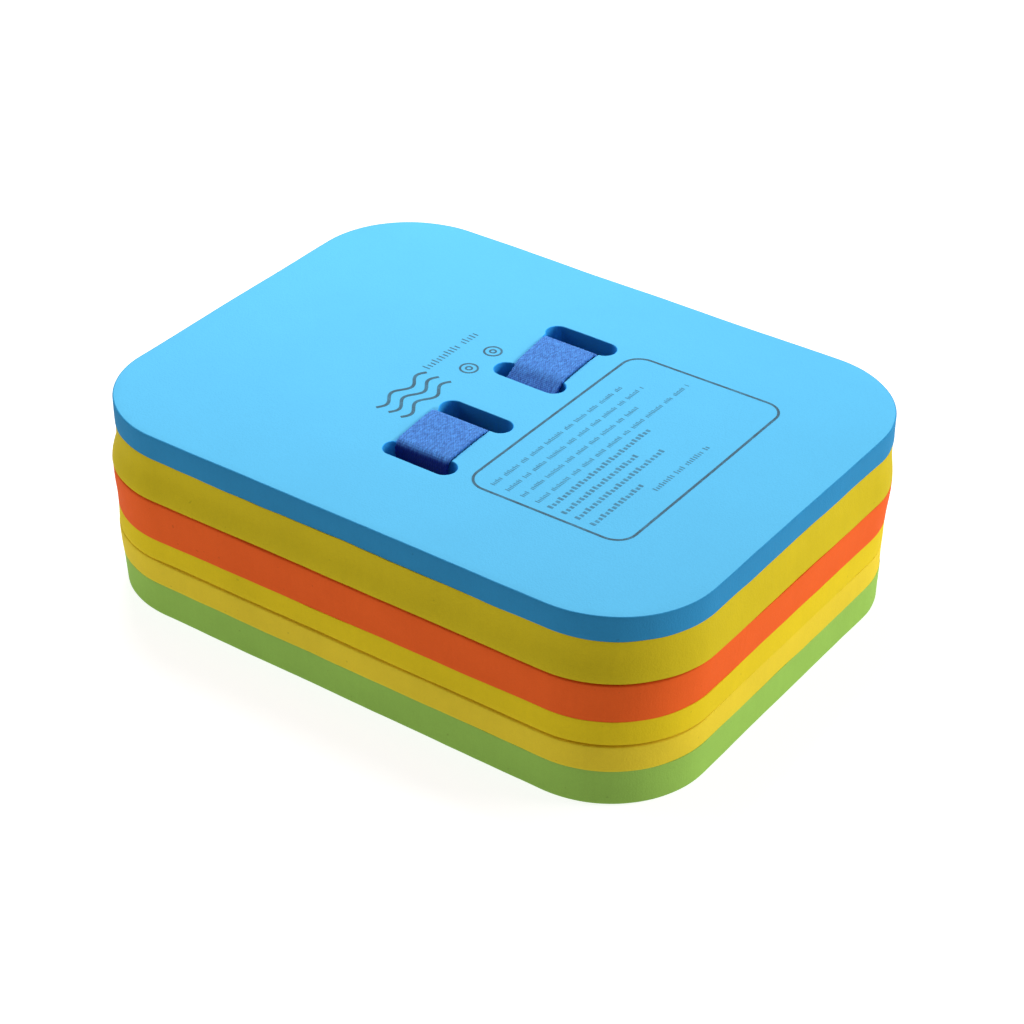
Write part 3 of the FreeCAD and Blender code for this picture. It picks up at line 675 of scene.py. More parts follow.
def press_bed(sheet):
    """The belt's bed in the underside, cut with softened edges."""
    start, end = SLOTS[0], EDGE_Y + 6 * MM
    half_y = (end - start) / 2
    loop, _ = rounded_loop(BED_HALF, half_y, 1.5 * MM, 60, (0.0, start + half_y))
    tool = mesh_object("bed_tool", *prism(loop, -3 * MM, BED_DEPTH), sheet.data.materials[0])
    add_cut(sheet, tool)
    apply_modifiers(sheet)
    bpy.data.objects.remove(tool)


def build_boards():
    # The blue cut edge is a darker copy of the blue foam: partly the cut edge's own deeper colour,
    # partly painted shade on the board's sides.
    blue = [foam_material("foam_blue_edge", "foam_blue", shade=(0.30, 0.58, 0.71)),
            foam_material("foam_blue_skin", "foam_blue", skin=True),
            # The slot walls take a still darker copy of the blue: painted shade inside the slots,
            # brightened again at the round ends as painted light.
            foam_material("foam_blue_slot_painted_shade", "foam_blue", shade=(0.15, 0.40, 0.62), painted_end_light=2.2)]
    # The upper yellow sheet is a darker copy of the yellow foam: painted shade on that sheet.
    top_yellow = [foam_material("foam_top_yellow", "foam_yellow", shade=(0.84, 0.85, 0.8))]
    yellow = [foam_material("foam_yellow", "foam_yellow", shade=(1.03, 1.0, 0.8))]
    orange = [foam_material("foam_orange", "foam_orange", shade=(1.02, 0.84, 0.6))]
    warm_yellow = [foam_material("foam_warm_yellow", "foam_mustard")]
    green = [foam_material("foam_green", "foam_green")]
    blue_bond = bond(11, 0.45 * MM)
    orange_bond = bond(23, 0.3 * MM, 0.006)
    green_bond = bond(37, 0.3 * MM)
    raw, top_rim, seam_rim, foot_rim = 0.08 * MM, 0.5 * MM, 0.55 * MM, 0.9 * MM
    plan = [
        ("foam_top_blue", BLUE, "top_board", blue, (raw, top_rim),
         (blue_bond, dented), 1),
        ("foam_top_yellow", TOP_YELLOW, "top_board", top_yellow, (seam_rim, raw),
         (upper_seam(-1), blue_bond), 2),
        ("foam_middle_orange", ORANGE, "middle_board", orange, (raw, seam_rim),
         (orange_bond, upper_seam(1)), 3),
        ("foam_middle_yellow", MID_YELLOW, "middle_board", yellow, (seam_rim, raw),
         (lower_seam(-1), orange_bond), 4),
        ("foam_bottom_yellow", LOW_YELLOW, "root", warm_yellow, (raw, seam_rim),
         (green_bond, lower_seam(1)), 5),
        ("foam_bottom_green", GREEN, "root", green, (foot_rim, raw),
         (lambda x, y: 0.0, green_bond), 6),
    ]
    for name, node, body, materials, ease, lifts, seed in plan:
        sheet = foam_sheet(name, node, materials, ease, lifts, seed, node == BLUE)
        if node == GREEN:
            press_bed(sheet)
        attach(sheet, body)
        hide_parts(node)


# ------------------------------------------------------------------ ribbons


def rounded_path(corners, step):
    """Points and directions along straight runs joined by arcs, at even steps. corners holds
    (u, v, bend radius)."""
    spots = [np.array(c[:2], float) for c in corners]
    pieces, here = [], spots[0]
    for k in range(1, len(spots)):
        ahead = (spots[k] - spots[k - 1]) / np.linalg.norm(spots[k] - spots[k - 1])
        if k == len(spots) - 1:
            pieces.append((here, ahead, np.linalg.norm(spots[k] - here), 0.0))
            break
        leaving = (spots[k + 1] - spots[k]) / np.linalg.norm(spots[k + 1] - spots[k])
        turn = math.atan2(ahead[0] * leaving[1] - ahead[1] * leaving[0], float(ahead @ leaving))
        trim = corners[k][2] * math.tan(abs(turn) / 2)
        start = spots[k] - ahead * trim
        pieces.append((here, ahead, np.linalg.norm(start - here), 0.0))
        pieces.append((start, ahead, corners[k][2] * abs(turn), turn))
        here = spots[k] + leaving * trim
    total = sum(length for _, _, length, _ in pieces)
    count = max(2, round(total / step))
    points, directions = [], []
    index, passed = 0, 0.0
    for k in range(count + 1):
        along = total * k / count
        while index < len(pieces) - 1 and along > passed + pieces[index][2]:
            passed += pieces[index][2]
            index += 1
        start, ahead, length, turn = pieces[index]
        along -= passed
        if turn == 0.0:
            points.append(start + ahead * along)
            directions.append(ahead)
            continue
        angle, radius = turn * along / length, length / turn
        left = np.array([-ahead[1], ahead[0]])
        turned = ahead * math.cos(angle) + left * math.sin(angle)
        points.append(start + left * radius - np.array([-turned[1], turned[0]]) * radius)
        directions.append(turned)
    return np.array(points), np.array(directions), total


def weave(u, along):
    """Height of the belt's woven surface, from -1 to 1: staggered floats, one row per cord."""
    cord = WEBBING / 22
    row = math.floor(u / cord)
    across = math.cos(2 * math.pi * (u / cord - 0.5))
    float_wave = math.cos(2 * math.pi * (along / (2.4 * cord) + 0.5 * (row % 2)))
    return 0.55 * across + 0.45 * float_wave * (0.6 + 0.4 * across)


def knit(u, along):
    """Height of the elastic's surface: plain cords side by side."""
    return math.cos(2 * math.pi * u / (1.0 * MM)) * (0.8 + 0.2 * math.cos(2 * math.pi * along / MM))


def ribbon(name, path, directions, total, to_space, width, thick, material, relief, pattern=weave,
           across_count=60, sideways=None, spread=None, push=None, shadow=None, closed=False):
    """A flat woven band with rounded edges. path and directions lie in a plane, and
    to_space(across, a, b) gives the place in space. sideways shifts the band's middle, spread
    gives its width there, and push moves a point across the path's plane so that the band follows
    what it lies against. shadow gives how much painted shadow darkens the band at a place."""
    half, half_thick, rim = width / 2, thick / 2, thick * 0.45
    profile = []
    for k in range(across_count + 1):
        v = -1 + 2 * k / across_count
        into_rim = max(0.0, abs(v) * half - (half - rim)) / rim
        profile.append((v * half, 0.25 + 0.75 * math.sqrt(max(0.0, 1 - into_rim ** 2))))
    points, faces, along_at, across_at, shadow_at = [], [], [], [], []
    rings = len(path) - 1 if closed else len(path)
    for index in range(rings):
        (a, b), (da, db) = path[index], directions[index]
        along = total * index / (len(path) - 1)
        middle = sideways(a, b) if sideways else 0.0
        stretch = spread(a, b) / width if spread else 1.0
        selvedge = 0.16 * MM * math.cos(2 * math.pi * along / (2.3 * MM)) / half
        dark = shadow(a, b) if shadow else 0.0
        for side in (1, -1):
            for u, fullness in (profile if side == 1 else profile[::-1]):
                lift = side * half_thick * fullness + relief * pattern(u, along) * side * fullness
                x = middle + u * (stretch + selvedge * abs(u / half) ** 10)
                shift = push(x, a, b) if push else 0.0
                points.append(to_space(x, a - db * lift + shift, b + da * lift))
                along_at.append(along)
                across_at.append(u)
                shadow_at.append(dark)
    loop = 2 * (across_count + 1)
    for index in range(rings if closed else rings - 1):
        faces += band(index * loop, (index + 1) % rings * loop, loop)
    if not closed:
        for first in (0, (rings - 1) * loop):
            for k in range(across_count):
                faces.append([first + k, first + k + 1, first + loop - 2 - k, first + loop - 1 - k])
    made = mesh_object(name, points, faces, material)
    for attribute, values in (("along", along_at), ("across", across_at), ("shadow", shadow_at)):
        made.data.attributes.new(attribute, "FLOAT", "POINT").data.foreach_set("value", values)
    return made


# ------------------------------------------------------------------ the waist belt

# The middle of the belt where it passes each slot's lip.
LIP = [SLOTS[0] + SLOT_WIDTH / 2 - OFF_WALL, SLOTS[1] - SLOT_WIDTH / 2 + OFF_WALL,
       SLOTS[2] + SLOT_WIDTH / 2 - OFF_WALL, SLOTS[3] - SLOT_WIDTH / 2 + OFF_WALL]
OVER_TOP = TOP + OFF_WALL     # its middle where it lies on the top face
LOWER_LAYER = WEBBING_THICK / 2
UPPER_LAYER = LOWER_LAYER + WEBBING_THICK + 0.15 * MM
# The slack leg in the third slot crosses over to the slot's other wall.
SLACK_AT = SLOTS[2] - SLOT_WIDTH / 2 + OFF_WALL + 0.8 * MM


def in_slot(x, y, z):
    """How far the belt gives way, along Y, where a slot's round end would cut into it."""
    slot = min(SLOTS, key=lambda centre: abs(centre - y))
    radius = SLOT_WIDTH / 2
    past_straight = max(0.0, abs(x) - SLOT_REACH)
    room = math.sqrt(max(0.0, radius ** 2 - past_straight ** 2)) - OFF_WALL
    below_lip = clamped((TOP - 1.8 * MM - z) / (2.0 * MM))
    excess = max(0.0, abs(y - slot) - room)
    return -math.copysign(min(excess, radius), y - slot) * below_lip


def fade(z):
    """The belt is in the middle at its foot, and reaches its full sideways place at the top."""
    return clamped((z - LEG_FOOT) / (OVER_TOP - LEG_FOOT))


def bridge_x(bridge):
    """Place of a bridge's middle along X."""
    return lambda y, z: bridge.at(bridge.middles, y) * fade(z)


def bridge_width(bridge):
    """A bridge is spread on the foam and takes its own width again inside the slots."""
    def width(y, z):
        free = bridge.at(bridge.widths, y)
        return WEBBING + (free - WEBBING) * eased((z - TOP + 6 * MM) / (5 * MM))
    return width


def in_shadow(strongest_shadow):
    """Painted shadow: the belt is darkened just inside a slot, on the side of the belt's first leg."""
    def dark(y, z):
        below = eased((TOP - 0.3 * MM - z) / (2.0 * MM)) * eased((z - TOP + 26 * MM) / (8 * MM))
        return strongest_shadow * below
    return dark


def strap(name, corners, material, step=1.0 * MM, across_count=50, relief=0.05 * MM, **shape):
    """A length of belt whose path lies in the Y-Z plane, in corners of (y, z, bend radius)."""
    path, directions, total = rounded_path(corners, step)
    made = ribbon(name, path, directions, total, lambda x, y, z: (x, y, z), WEBBING,
                  WEBBING_THICK, material, relief, across_count=across_count, **shape)
    return made


def build_bridges(material):
    arch_bend = 16 * MM
    crown = OVER_TOP - CROWN_DEPTH + 0.1 * MM
    fine = {"step": 0.36 * MM, "across_count": 100, "relief": 0.09 * MM, "push": in_slot}

    def over(bridge, end):
        """Corners of the belt's path from the crown over the lip at one end."""
        lip = (bridge.start, bridge.end)[end]
        inwards = 1 if end == 0 else -1
        level = OVER_TOP - bridge.depths[end] + 0.05 * MM
        return [(lip - inwards * OFF_WALL, BELT_CUT, 0),
                (lip - inwards * OFF_WALL, level, bridge.radii[end] + OFF_WALL),
                (lip + inwards * 8 * MM, crown, arch_bend)]

    one, two = BRIDGES
    # Painted shadow on the bridges' legs inside the slots: strong on the first bridge, light on the
    # second.
    over_one = strap("belt_over_one", over(one, 0) + over(one, 1)[::-1], material,
                     sideways=bridge_x(one), spread=bridge_width(one), shadow=in_shadow(0.9),
                     **fine)
    over_two = strap("belt_over_two", [
        (SLACK_AT, BELT_CUT, 0),
        (SLACK_AT, TOP - 7 * MM, 4.5 * MM),
        (LIP[2] - 0.3 * MM, TOP - 1.7 * MM, 6 * MM),
        (LIP[2] + 2.6 * MM, OVER_TOP - 0.7 * MM, 8 * MM),
        (LIP[2] + 9 * MM, crown, arch_bend),
    ] + over(two, 1)[::-1], material, sideways=bridge_x(two), spread=bridge_width(two),
        shadow=in_shadow(0.2), **fine)
    for piece, node in ((over_one, "belt_bridge_one"), (over_two, "belt_bridge_two")):
        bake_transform(piece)
        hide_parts(node)


def build_legs(material):
    top_of_leg = [LIP[0], LIP[1], SLACK_AT, LIP[3]]
    for k in range(4):
        piece = strap(f"belt_leg_{k + 1}", [
            (LIP[k], LEG_FOOT, 0),
            (top_of_leg[k], BELT_CUT, 0),
        ], material, sideways=bridge_x(BRIDGES[k // 2]), push=in_slot)
        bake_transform(piece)


# The six layers of the hank, and where the webbing turns round the buckle's bars.
LAYERS = [(1.9 + rise) * MM for rise in (0.0, 1.6, 4.8, 6.8, 9.6, 11.6)]
HANK_NEAR, FOLD_NEAR, FOLD_FAR = 113.8 * MM, 118.0 * MM, 181.0 * MM
BAR_MIDDLE = (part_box("buckle_socket")[0].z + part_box("buckle_socket")[1].z) / 2
OVER_BAR, UNDER_BAR = BAR_MIDDLE + 2.5 * MM, BAR_MIDDLE - 2.5 * MM
SOCKET_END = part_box("buckle_socket")[1].y
PLUG_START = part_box("buckle_plug")[0].y


def fold(low, high):
    """Bend radius of a fold from one layer to another."""
    return (high - low) / 2 - 0.01 * MM


def build_tails(material):
    bar_bend = 1.2 * MM
    under = strap("belt_under", [
        (LIP[1], LEG_FOOT, 0),
        (LIP[1], UPPER_LAYER, bar_bend),
        (LIP[2], UPPER_LAYER, bar_bend),
        (LIP[2], LEG_FOOT, 0),
    ], material)
    sewn_in, sewn_out = SOCKET_END - 4.3 * MM, SOCKET_END + 2.8 * MM
    sewn = strap("belt_sewn_end", [
        (LIP[0], LEG_FOOT, 0),
        (LIP[0], LOWER_LAYER, 1.8 * MM),
        (EDGE_Y + 1 * MM, LOWER_LAYER, 8 * MM),
        (HANK_NEAR, LAYERS[0], 8 * MM),
        (FOLD_FAR, LAYERS[0], fold(LAYERS[0], LAYERS[3])),
        (FOLD_FAR, LAYERS[3], fold(LAYERS[0], LAYERS[3])),
        (FOLD_NEAR, LAYERS[3], fold(LAYERS[3], LAYERS[4])),
        (FOLD_NEAR, LAYERS[4], fold(LAYERS[3], LAYERS[4])),
        (sewn_out + 1.6 * MM, LAYERS[4], 2.5 * MM),
        (sewn_out + 1.6 * MM, OVER_BAR, 2.6 * MM),
        (sewn_in, OVER_BAR, bar_bend),
        (sewn_in, UNDER_BAR, bar_bend),
        (sewn_out, UNDER_BAR, 2 * MM),
        (sewn_out, LAYERS[4] + 1.7 * MM, 0),
    ], material)
    inner_slot, outer_slot = PLUG_START + 11.7 * MM, PLUG_START + 6.5 * MM
    inner_fold = FOLD_FAR - 2.2 * MM
    free_end = 163 * MM
    adjustable = strap("belt_free_end", [
        (LIP[3], LEG_FOOT, 0),
        (LIP[3], UPPER_LAYER, bar_bend),
        (EDGE_Y + 1 * MM, UPPER_LAYER, 8 * MM),
        (HANK_NEAR, LAYERS[1], 8 * MM),
        (inner_fold, LAYERS[1], fold(LAYERS[1], LAYERS[2])),
        (inner_fold, LAYERS[2], fold(LAYERS[1], LAYERS[2])),
        (HANK_NEAR, LAYERS[2], 3 * MM),
        (HANK_NEAR, OVER_BAR + 1.6 * MM, 3.5 * MM),
        (inner_slot, OVER_BAR + 1.6 * MM, 2 * MM),
        (inner_slot, UNDER_BAR, bar_bend),
        (outer_slot, UNDER_BAR, bar_bend),
        (outer_slot, OVER_BAR, 1.4 * MM),
        (FOLD_NEAR + 0.6 * MM, OVER_BAR, 2.2 * MM),
        (FOLD_NEAR + 0.6 * MM, LAYERS[5], 2.2 * MM),
        (free_end, LAYERS[5], 0),
    ], material)
    for piece, node in ((under, "belt_under_run"), (sewn, "belt_tail_sewn"),
                        (adjustable, "belt_tail_adjustable")):
        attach(piece, "root")
        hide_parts(node)


def build_belt(material):
    build_bridges(material)
    build_legs(material)
    build_tails(material)


# ------------------------------------------------------------------ elastic band


def build_band():
    low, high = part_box("hank_band")
    wall = 1.0 * MM
    half_x, top = (high.x - low.x) / 2 - wall / 2, high.z - wall / 2
    bottom, bend = low.z + wall / 2, 1.1 * MM
    corners = [(0, bottom, 0), (half_x, bottom, bend), (half_x, top, bend), (-half_x, top, bend),
               (-half_x, bottom, bend), (0, bottom, 0)]
    path, directions, total = rounded_path(corners, 0.5 * MM)
    middle, width = (low.y + high.y) / 2, high.y - low.y
    band = ribbon("elastic_band", path, directions, total,
                  lambda across, a, b: (a, middle + across, b), width, wall, elastic_material(),
                  0.08 * MM, knit, across_count=60, closed=True)
    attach(band, "root")
    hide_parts("hank_band")


# ------------------------------------------------------------------ side-release buckle


def loft(stations, squareness=4.0, count=56):
    """A closed body along Y. stations holds (y, half width, half height) of sections centred on
    the buckle's middle height, each between an ellipse and a rectangle."""
    points, faces = [], []
    for y, half_x, half_z in stations:
        for k in range(count):
            angle = 2 * math.pi * k / count
            c, s = math.cos(angle), math.sin(angle)
            x = half_x * math.copysign(abs(c) ** (2 / squareness), c)
            z = half_z * math.copysign(abs(s) ** (2 / squareness), s)
            points.append((x, y, BAR_MIDDLE + z))
    for row in range(len(stations) - 1):
        faces += band(row * count, (row + 1) * count, count)
    faces.append(list(range(count)))
    faces.append(list(range(len(points) - count, len(points))))
    return points, faces


def eased_stations(profile, step=0.8 * MM):
    """Sections at even steps, from a few (y, half width, half height) joined smoothly."""
    places, widths, heights = (np.array(column) for column in zip(*profile))
    found = []
    for y in np.linspace(places[0], places[-1], round((places[-1] - places[0]) / step) + 1):
        k = min(len(places) - 2, int(np.searchsorted(places, y, side="right")) - 1)
        ease = eased((y - places[k]) / (places[k + 1] - places[k]))
        found.append((y, widths[k] + (widths[k + 1] - widths[k]) * ease,
                      heights[k] + (heights[k + 1] - heights[k]) * ease))
    return found


def rounded_box(low, high, radius, segments=4):
    work = bmesh.new()
    bmesh.ops.create_cube(work, size=1.0)
    for vertex in work.verts:
        for axis in range(3):
            half = (high[axis] - low[axis]) / 2
            vertex.co[axis] = (low[axis] + high[axis]) / 2 + vertex.co[axis] * 2 * half
    bmesh.ops.bevel(work, geom=work.edges[:], offset=radius, segments=segments,
                    affect="EDGES", profile=0.5)
    points = [tuple(v.co) for v in work.verts]
    faces = [[v.index for v in face.verts] for face in work.faces]
    work.free()
    return points, faces


def joined(shapes):
    points, faces = [], []
    for more_points, more_faces in shapes:
        first = len(points)
        points += more_points
        faces += [[first + index for index in face] for face in more_faces]
    return points, faces


def moulded(name, added, removed, material, voxel, rounds):
    """One moulded piece: the added shapes run together, the removed ones are cut out, and the
    edges are eased."""
    piece = mesh_object(name, *joined(added), material)
    piece.modifiers.new("together", "REMESH").voxel_size = voxel
    apply_modifiers(piece)
    tools = []
    for index, shape in enumerate(removed):
        tool = mesh_object(f"{name}_tool_{index}", *shape, material)
        add_cut(piece, tool)
        tools.append(tool)
    piece.modifiers.new("again", "REMESH").voxel_size = voxel
    softened = piece.modifiers.new("softened", "SMOOTH")
    softened.factor = 0.5
    softened.iterations = rounds
    apply_modifiers(piece)
    for tool in tools:
        bpy.data.objects.remove(tool)
    piece.data.shade_smooth()
    if not piece.data.materials:
        piece.data.materials.append(material)
    return piece


def box_about(half_x, y_low, y_high, half_z, radius, x=0.0, z=0.0):
    """A rounded box centred on the buckle's middle height."""
    return rounded_box((x - half_x, y_low, BAR_MIDDLE + z - half_z),
                       (x + half_x, y_high, BAR_MIDDLE + z + half_z), radius)


def build_socket(material):
    low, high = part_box("buckle_socket")
    mouth, end, half = low.y, high.y, high.x
    tall = (high.z - low.z) / 2
    scoop = mouth + 18.8 * MM
    hull = loft(eased_stations([
        (mouth, half - 0.5 * MM, tall - 0.4 * MM),
        (mouth + 1.4 * MM, half, tall),
        (scoop - 9 * MM, half, tall),
        (scoop, half - 3.2 * MM, tall),
        (scoop + 8 * MM, half - 0.4 * MM, tall - 0.2 * MM),
        (end - 7 * MM, half, 2.4 * MM),
        (end - 4 * MM, half, 1.7 * MM),
        (end - 1 * MM, half - 0.8 * MM, 1.65 * MM),
        (end, half - 2 * MM, 1.2 * MM),
    ]), 5.0)
    grips = [box_about(5 * MM, mouth + 3.2 * MM + k * 1.9 * MM, mouth + 4.2 * MM + k * 1.9 * MM,
                       0.5 * MM, 0.3 * MM, z=side * tall) for k in range(4) for side in (1, -1)]
    window_low, window_high = mouth + 12.8 * MM, mouth + 24.8 * MM
    cavity = box_about(14 * MM, mouth - 3 * MM, mouth + 26.3 * MM, 2.7 * MM, 0.8 * MM)
    windows = box_about(22 * MM, window_low, window_high, 2.7 * MM, 1.6 * MM)
    loop = box_about(13.1 * MM, end - 8.1 * MM, end - 3.4 * MM, 8 * MM, 1.0 * MM)
    dishes = [box_about(9 * MM, scoop - 6.5 * MM, scoop + 5.5 * MM, 1.5 * MM, 1.2 * MM,
                        z=side * (tall + 1.0 * MM)) for side in (1, -1)]
    socket = moulded("buckle_socket_shell", [hull] + grips, [cavity, windows, loop] + dishes,
                     material, 0.3 * MM, 3)
    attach(socket, "root")
    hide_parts("buckle_socket")


def build_plug(material):
    low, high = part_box("buckle_plug")
    start, half, tall = low.y, high.x, (high.z - low.z) / 2
    head_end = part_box("buckle_socket")[0].y - 0.3 * MM
    bar, slot, thin = 3.4 * MM, 4.0 * MM, 1.6 * MM
    frame_body = loft(eased_stations([
        (start, half - 2.2 * MM, thin * 0.7),
        (start + 1.2 * MM, half - 0.5 * MM, thin),
        (start + 3.4 * MM, half, thin),
        (head_end - 7.0 * MM, half, thin),
        (head_end - 4.6 * MM, half, tall - 0.1 * MM),
        (head_end - 0.6 * MM, half, tall),
        (head_end, half - 0.5 * MM, tall - 0.5 * MM),
    ]), 5.0)
    tongue = box_about(2.2 * MM, head_end - 2 * MM, high.y, 1.9 * MM, 0.8 * MM)
    grips = [box_about(9 * MM, head_end - 4.4 * MM + k * 1.5 * MM, head_end - 3.6 * MM + k * 1.5 * MM,
                       0.5 * MM, 0.3 * MM, z=side * tall) for k in range(3) for side in (1, -1)]
    slots = [box_about(13.1 * MM, start + bar + k * (bar + slot), start + (k + 1) * (bar + slot),
                       8 * MM, 0.9 * MM) for k in range(2)]
    plug = moulded("buckle_plug_body", [frame_body, tongue] + grips, slots, material, 0.3 * MM, 3)
    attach(plug, "root")
    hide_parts("buckle_plug")


def smooth_outline(corners, count=8):
    """A closed curve through the corners (Catmull-Rom)."""
    spots = [np.array(c, float) for c in corners]
    found = []
    for k in range(len(spots)):
        a, b, c, d = (spots[(k + offset) % len(spots)] for offset in (-1, 0, 1, 2))
        for step in range(count):
            t = step / count
            found.append(0.5 * (2 * b + (c - a) * t + (2 * a - 5 * b + 4 * c - d) * t ** 2
                                + (3 * b - a - 3 * c + d) * t ** 3))
    return found


def build_prongs(material):
    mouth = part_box("buckle_socket")[0].y
    window = mouth + 12.8 * MM
    tall = 2.2 * MM
    for side, name in ((1, "right"), (-1, "left")):
        node = "buckle_prong_" + name
        # Root, spring arm and button, as (from the middle, along the buckle).
        corners = [(7.2, mouth / MM + 0.1), (9.8, mouth / MM + 0.1), (11.4, mouth / MM + 7),
                   (12.6, window / MM + 0.2), (15.0, window / MM + 0.4), (16.7, window / MM + 4.6),
                   (16.8, window / MM + 8.2), (14.6, window / MM + 11.0),
                   (11.2, window / MM + 11.2), (9.6, window / MM + 5.0), (9.0, window / MM - 3)]
        outline = [(side * x * MM, y * MM) for x, y in smooth_outline(corners)]
        arm = prism(outline, BAR_MIDDLE - tall, BAR_MIDDLE + tall)
        ridges = [box_about(0.35 * MM, window + (4.4 + 1.4 * k) * MM, window + (5.0 + 1.4 * k) * MM,
                            1.7 * MM, 0.2 * MM, x=side * 16.75 * MM) for k in range(4)]
        prong = moulded(f"buckle_prong_{name}_arm", [arm] + ridges, [], material, 0.22 * MM, 3)
        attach(prong, "prong_" + name)
        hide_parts(node)


def build_buckle(material):
    build_socket(material)
    build_plug(material)
    build_prongs(material)


# ------------------------------------------------------------------ stitching


def thread_run(points, faces, path, radius, sides=6):
    """Adds a thin closed strand of thread along a few points."""
    first = len(points)
    for index, spot in enumerate(path):
        before, after = path[max(0, index - 1)], path[min(len(path) - 1, index + 1)]
        ahead = (Vector(after) - Vector(before)).normalized()
        side = ahead.cross(Vector((0, 1, 0))).normalized()
        out = side.cross(ahead)
        for k in range(sides):
            angle = 2 * math.pi * k / sides
            points.append(tuple(Vector(spot) + side * radius * math.cos(angle)
                                + out * radius * math.sin(angle)))
    for row in range(len(path) - 1):
        faces += band(first + row * sides, first + (row + 1) * sides, sides)
    faces.append([first + k for k in range(sides)])
    last = first + (len(path) - 1) * sides
    faces.append([last + k for k in range(sides)])


def build_bartack():
    """Two close zigzag rows across the strap, which close the sewn loop round the socket's bar."""
    low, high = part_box("loop_bartack")
    face, half = low.y + 0.12 * MM, high.x
    points, faces = [], []
    for row in range(2):
        middle = low.z + 0.6 * MM + row * 2.2 * MM
        steps = 44
        path = []
        for k in range(steps + 1):
            x = -half + 2 * half * k / steps
            up = 0.7 * MM if k % 2 else -0.7 * MM
            path.append((x, face + 0.05 * MM * (k % 2), middle + up))
        thread_run(points, faces, path, 0.2 * MM)
    tack = mesh_object("bartack_thread", points, faces, thread_material())
    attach(tack, "root")
    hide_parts("loop_bartack")


# ------------------------------------------------------------------ print on the top face

INK_OVER, INK_UNDER = 0.07 * MM, 0.12 * MM


def ink_strip(points, faces, path, half_width, closed=False):
    """Adds a line of ink that follows the board's face along a path of (x, y) in millimetres."""
    spots = [np.array(p, float) * MM for p in path]
    count, first = len(spots), len(points)
    for index, spot in enumerate(spots):
        before = spots[index - 1] if closed or index else spot
        after = spots[(index + 1) % count] if closed or index < count - 1 else spot
        ahead = (after - before) / np.linalg.norm(after - before)
        left = np.array([-ahead[1], ahead[0]]) * half_width * MM
        for edge, lift in ((left, INK_OVER), (-left, INK_OVER), (-left, -INK_UNDER),
                           (left, -INK_UNDER)):
            x, y = spot + edge
            points.append((x, y, TOP + face_lift(x, y, TOP_FACE_SEED) + lift))
    for index in range(count if closed else count - 1):
        faces += band(first + 4 * index, first + 4 * ((index + 1) % count), 4)
    if not closed:
        faces.append([first + k for k in range(4)])
        faces.append([first + 4 * (count - 1) + k for k in range(4)])


def ticks(points, faces, place, start, end, height, word, pitch, stroke, gap):
    """A row of small print along Y, as plain upright ticks in word-long groups. pitch is the step
    from tick to tick, stroke a tick's width, and gap the space after a group."""
    pattern = (1.0, 0.72, 0.72, 1.0, 0.72, 0.86, 0.72, 1.0, 0.86)
    lengths = (6, 9, 4, 8, 11, 5, 7)
    along, index, mark = start, word, 0
    while along < end - pitch:
        for _ in range(lengths[index % len(lengths)]):
            if along > end - pitch:
                break
            tall = height * pattern[mark % len(pattern)]
            base = place + height / 2
            ink_strip(points, faces, [(base - tall, along), (base, along)], stroke / 2)
            along += pitch
            mark += 1
        along += gap
        index += 1


# Small print in millimetres: (place along X, last place along Y) of its rows, and their ticks.
UPPER_ROWS = [(34.0, 38.0), (41.0, 41.0), (48.0, 28.0), (55.0, 54.0)]
LOWER_ROWS = [(61.0, 16.0), (67.4, -1.0), (73.6, 7.0), (80.6, -19.0)]
UPPER_TICKS = {"height": 2.1, "pitch": 1.05, "stroke": 0.42, "gap": 2.0}
LOWER_TICKS = {"height": 2.5, "pitch": 2.35, "stroke": 1.25, "gap": 0.0}
LAST_TICKS = {"height": 2.4, "pitch": 1.5, "stroke": 0.6, "gap": 1.6}
MARK_TICKS = {"height": 3.8, "pitch": 2.1, "stroke": 0.55, "gap": 2.4}


def put_print(name, node, points, faces, material):
    piece = mesh_object(name, points, faces, material, 30)
    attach(piece, "top_board")
    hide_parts(node)


def build_panel(material):
    low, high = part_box("print_frame")
    line, corner, spread = 1.0, 9.0, 0.06
    loop, _ = rounded_loop((high.x - low.x) / 2 / MM - line / 2, high.y / MM - line / 2,
                           corner - line / 2, 240, ((low.x + high.x) / 2 / MM, 0.0))
    points, faces = [], []
    ink_strip(points, faces, loop, line / 2 + spread, closed=True)
    put_print("print_panel_line", "print_frame", points, faces, material)


def build_small_print(material):
    points, faces = [], []
    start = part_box("print_frame")[0].y / MM + 5.5
    for rows, look, first_word in ((UPPER_ROWS, UPPER_TICKS, 0), (LOWER_ROWS, LOWER_TICKS, 3)):
        for word, (place, end) in enumerate(rows, first_word):
            ticks(points, faces, place, start, end, word=word, **look)
    ticks(points, faces, 86.6, -21.0, 19.0, word=1, **LAST_TICKS)
    put_print("print_small_rows", "print_lines", points, faces, material)


def build_mark(material):
    """A plain mark: three waves, a row of ticks and two double rings."""
    points, faces = [], []
    for place in (-36.5, -30.3, -24.1):
        wave = [(place + 2.0 * math.sin(2 * math.pi * k / 24), -37.0 + 34.0 * k / 48)
                for k in range(49)]
        ink_strip(points, faces, wave, 0.72)
    ticks(points, faces, -39.0, 0.0, 37.0, word=4, **MARK_TICKS)
    for along in (10.0, 27.0):
        for radius, stroke in ((3.7, 0.9), (1.3, 0.8)):
            ring = [(-24.5 + radius * math.cos(2 * math.pi * k / 32),
                     along + radius * math.sin(2 * math.pi * k / 32)) for k in range(32)]
            ink_strip(points, faces, ring, stroke / 2, closed=True)
    put_print("print_wave_mark", "print_mark", points, faces, material)


def build_print():
    solid, light = ink_material("ink_line", 0.95), ink_material("ink_small_print", 0.72)
    build_panel(solid)
    build_small_print(light)
    build_mark(solid)


# ------------------------------------------------------------------ stage, light and camera


# How pale the floor is and how it glows, as the camera sees it and as the boards feel it.
FLOOR_SEEN, FLOOR_FELT = (0.45, 0.82), (0.3, 0.5)
SKY_SEEN, SKY_FELT = 1.0, 0.2


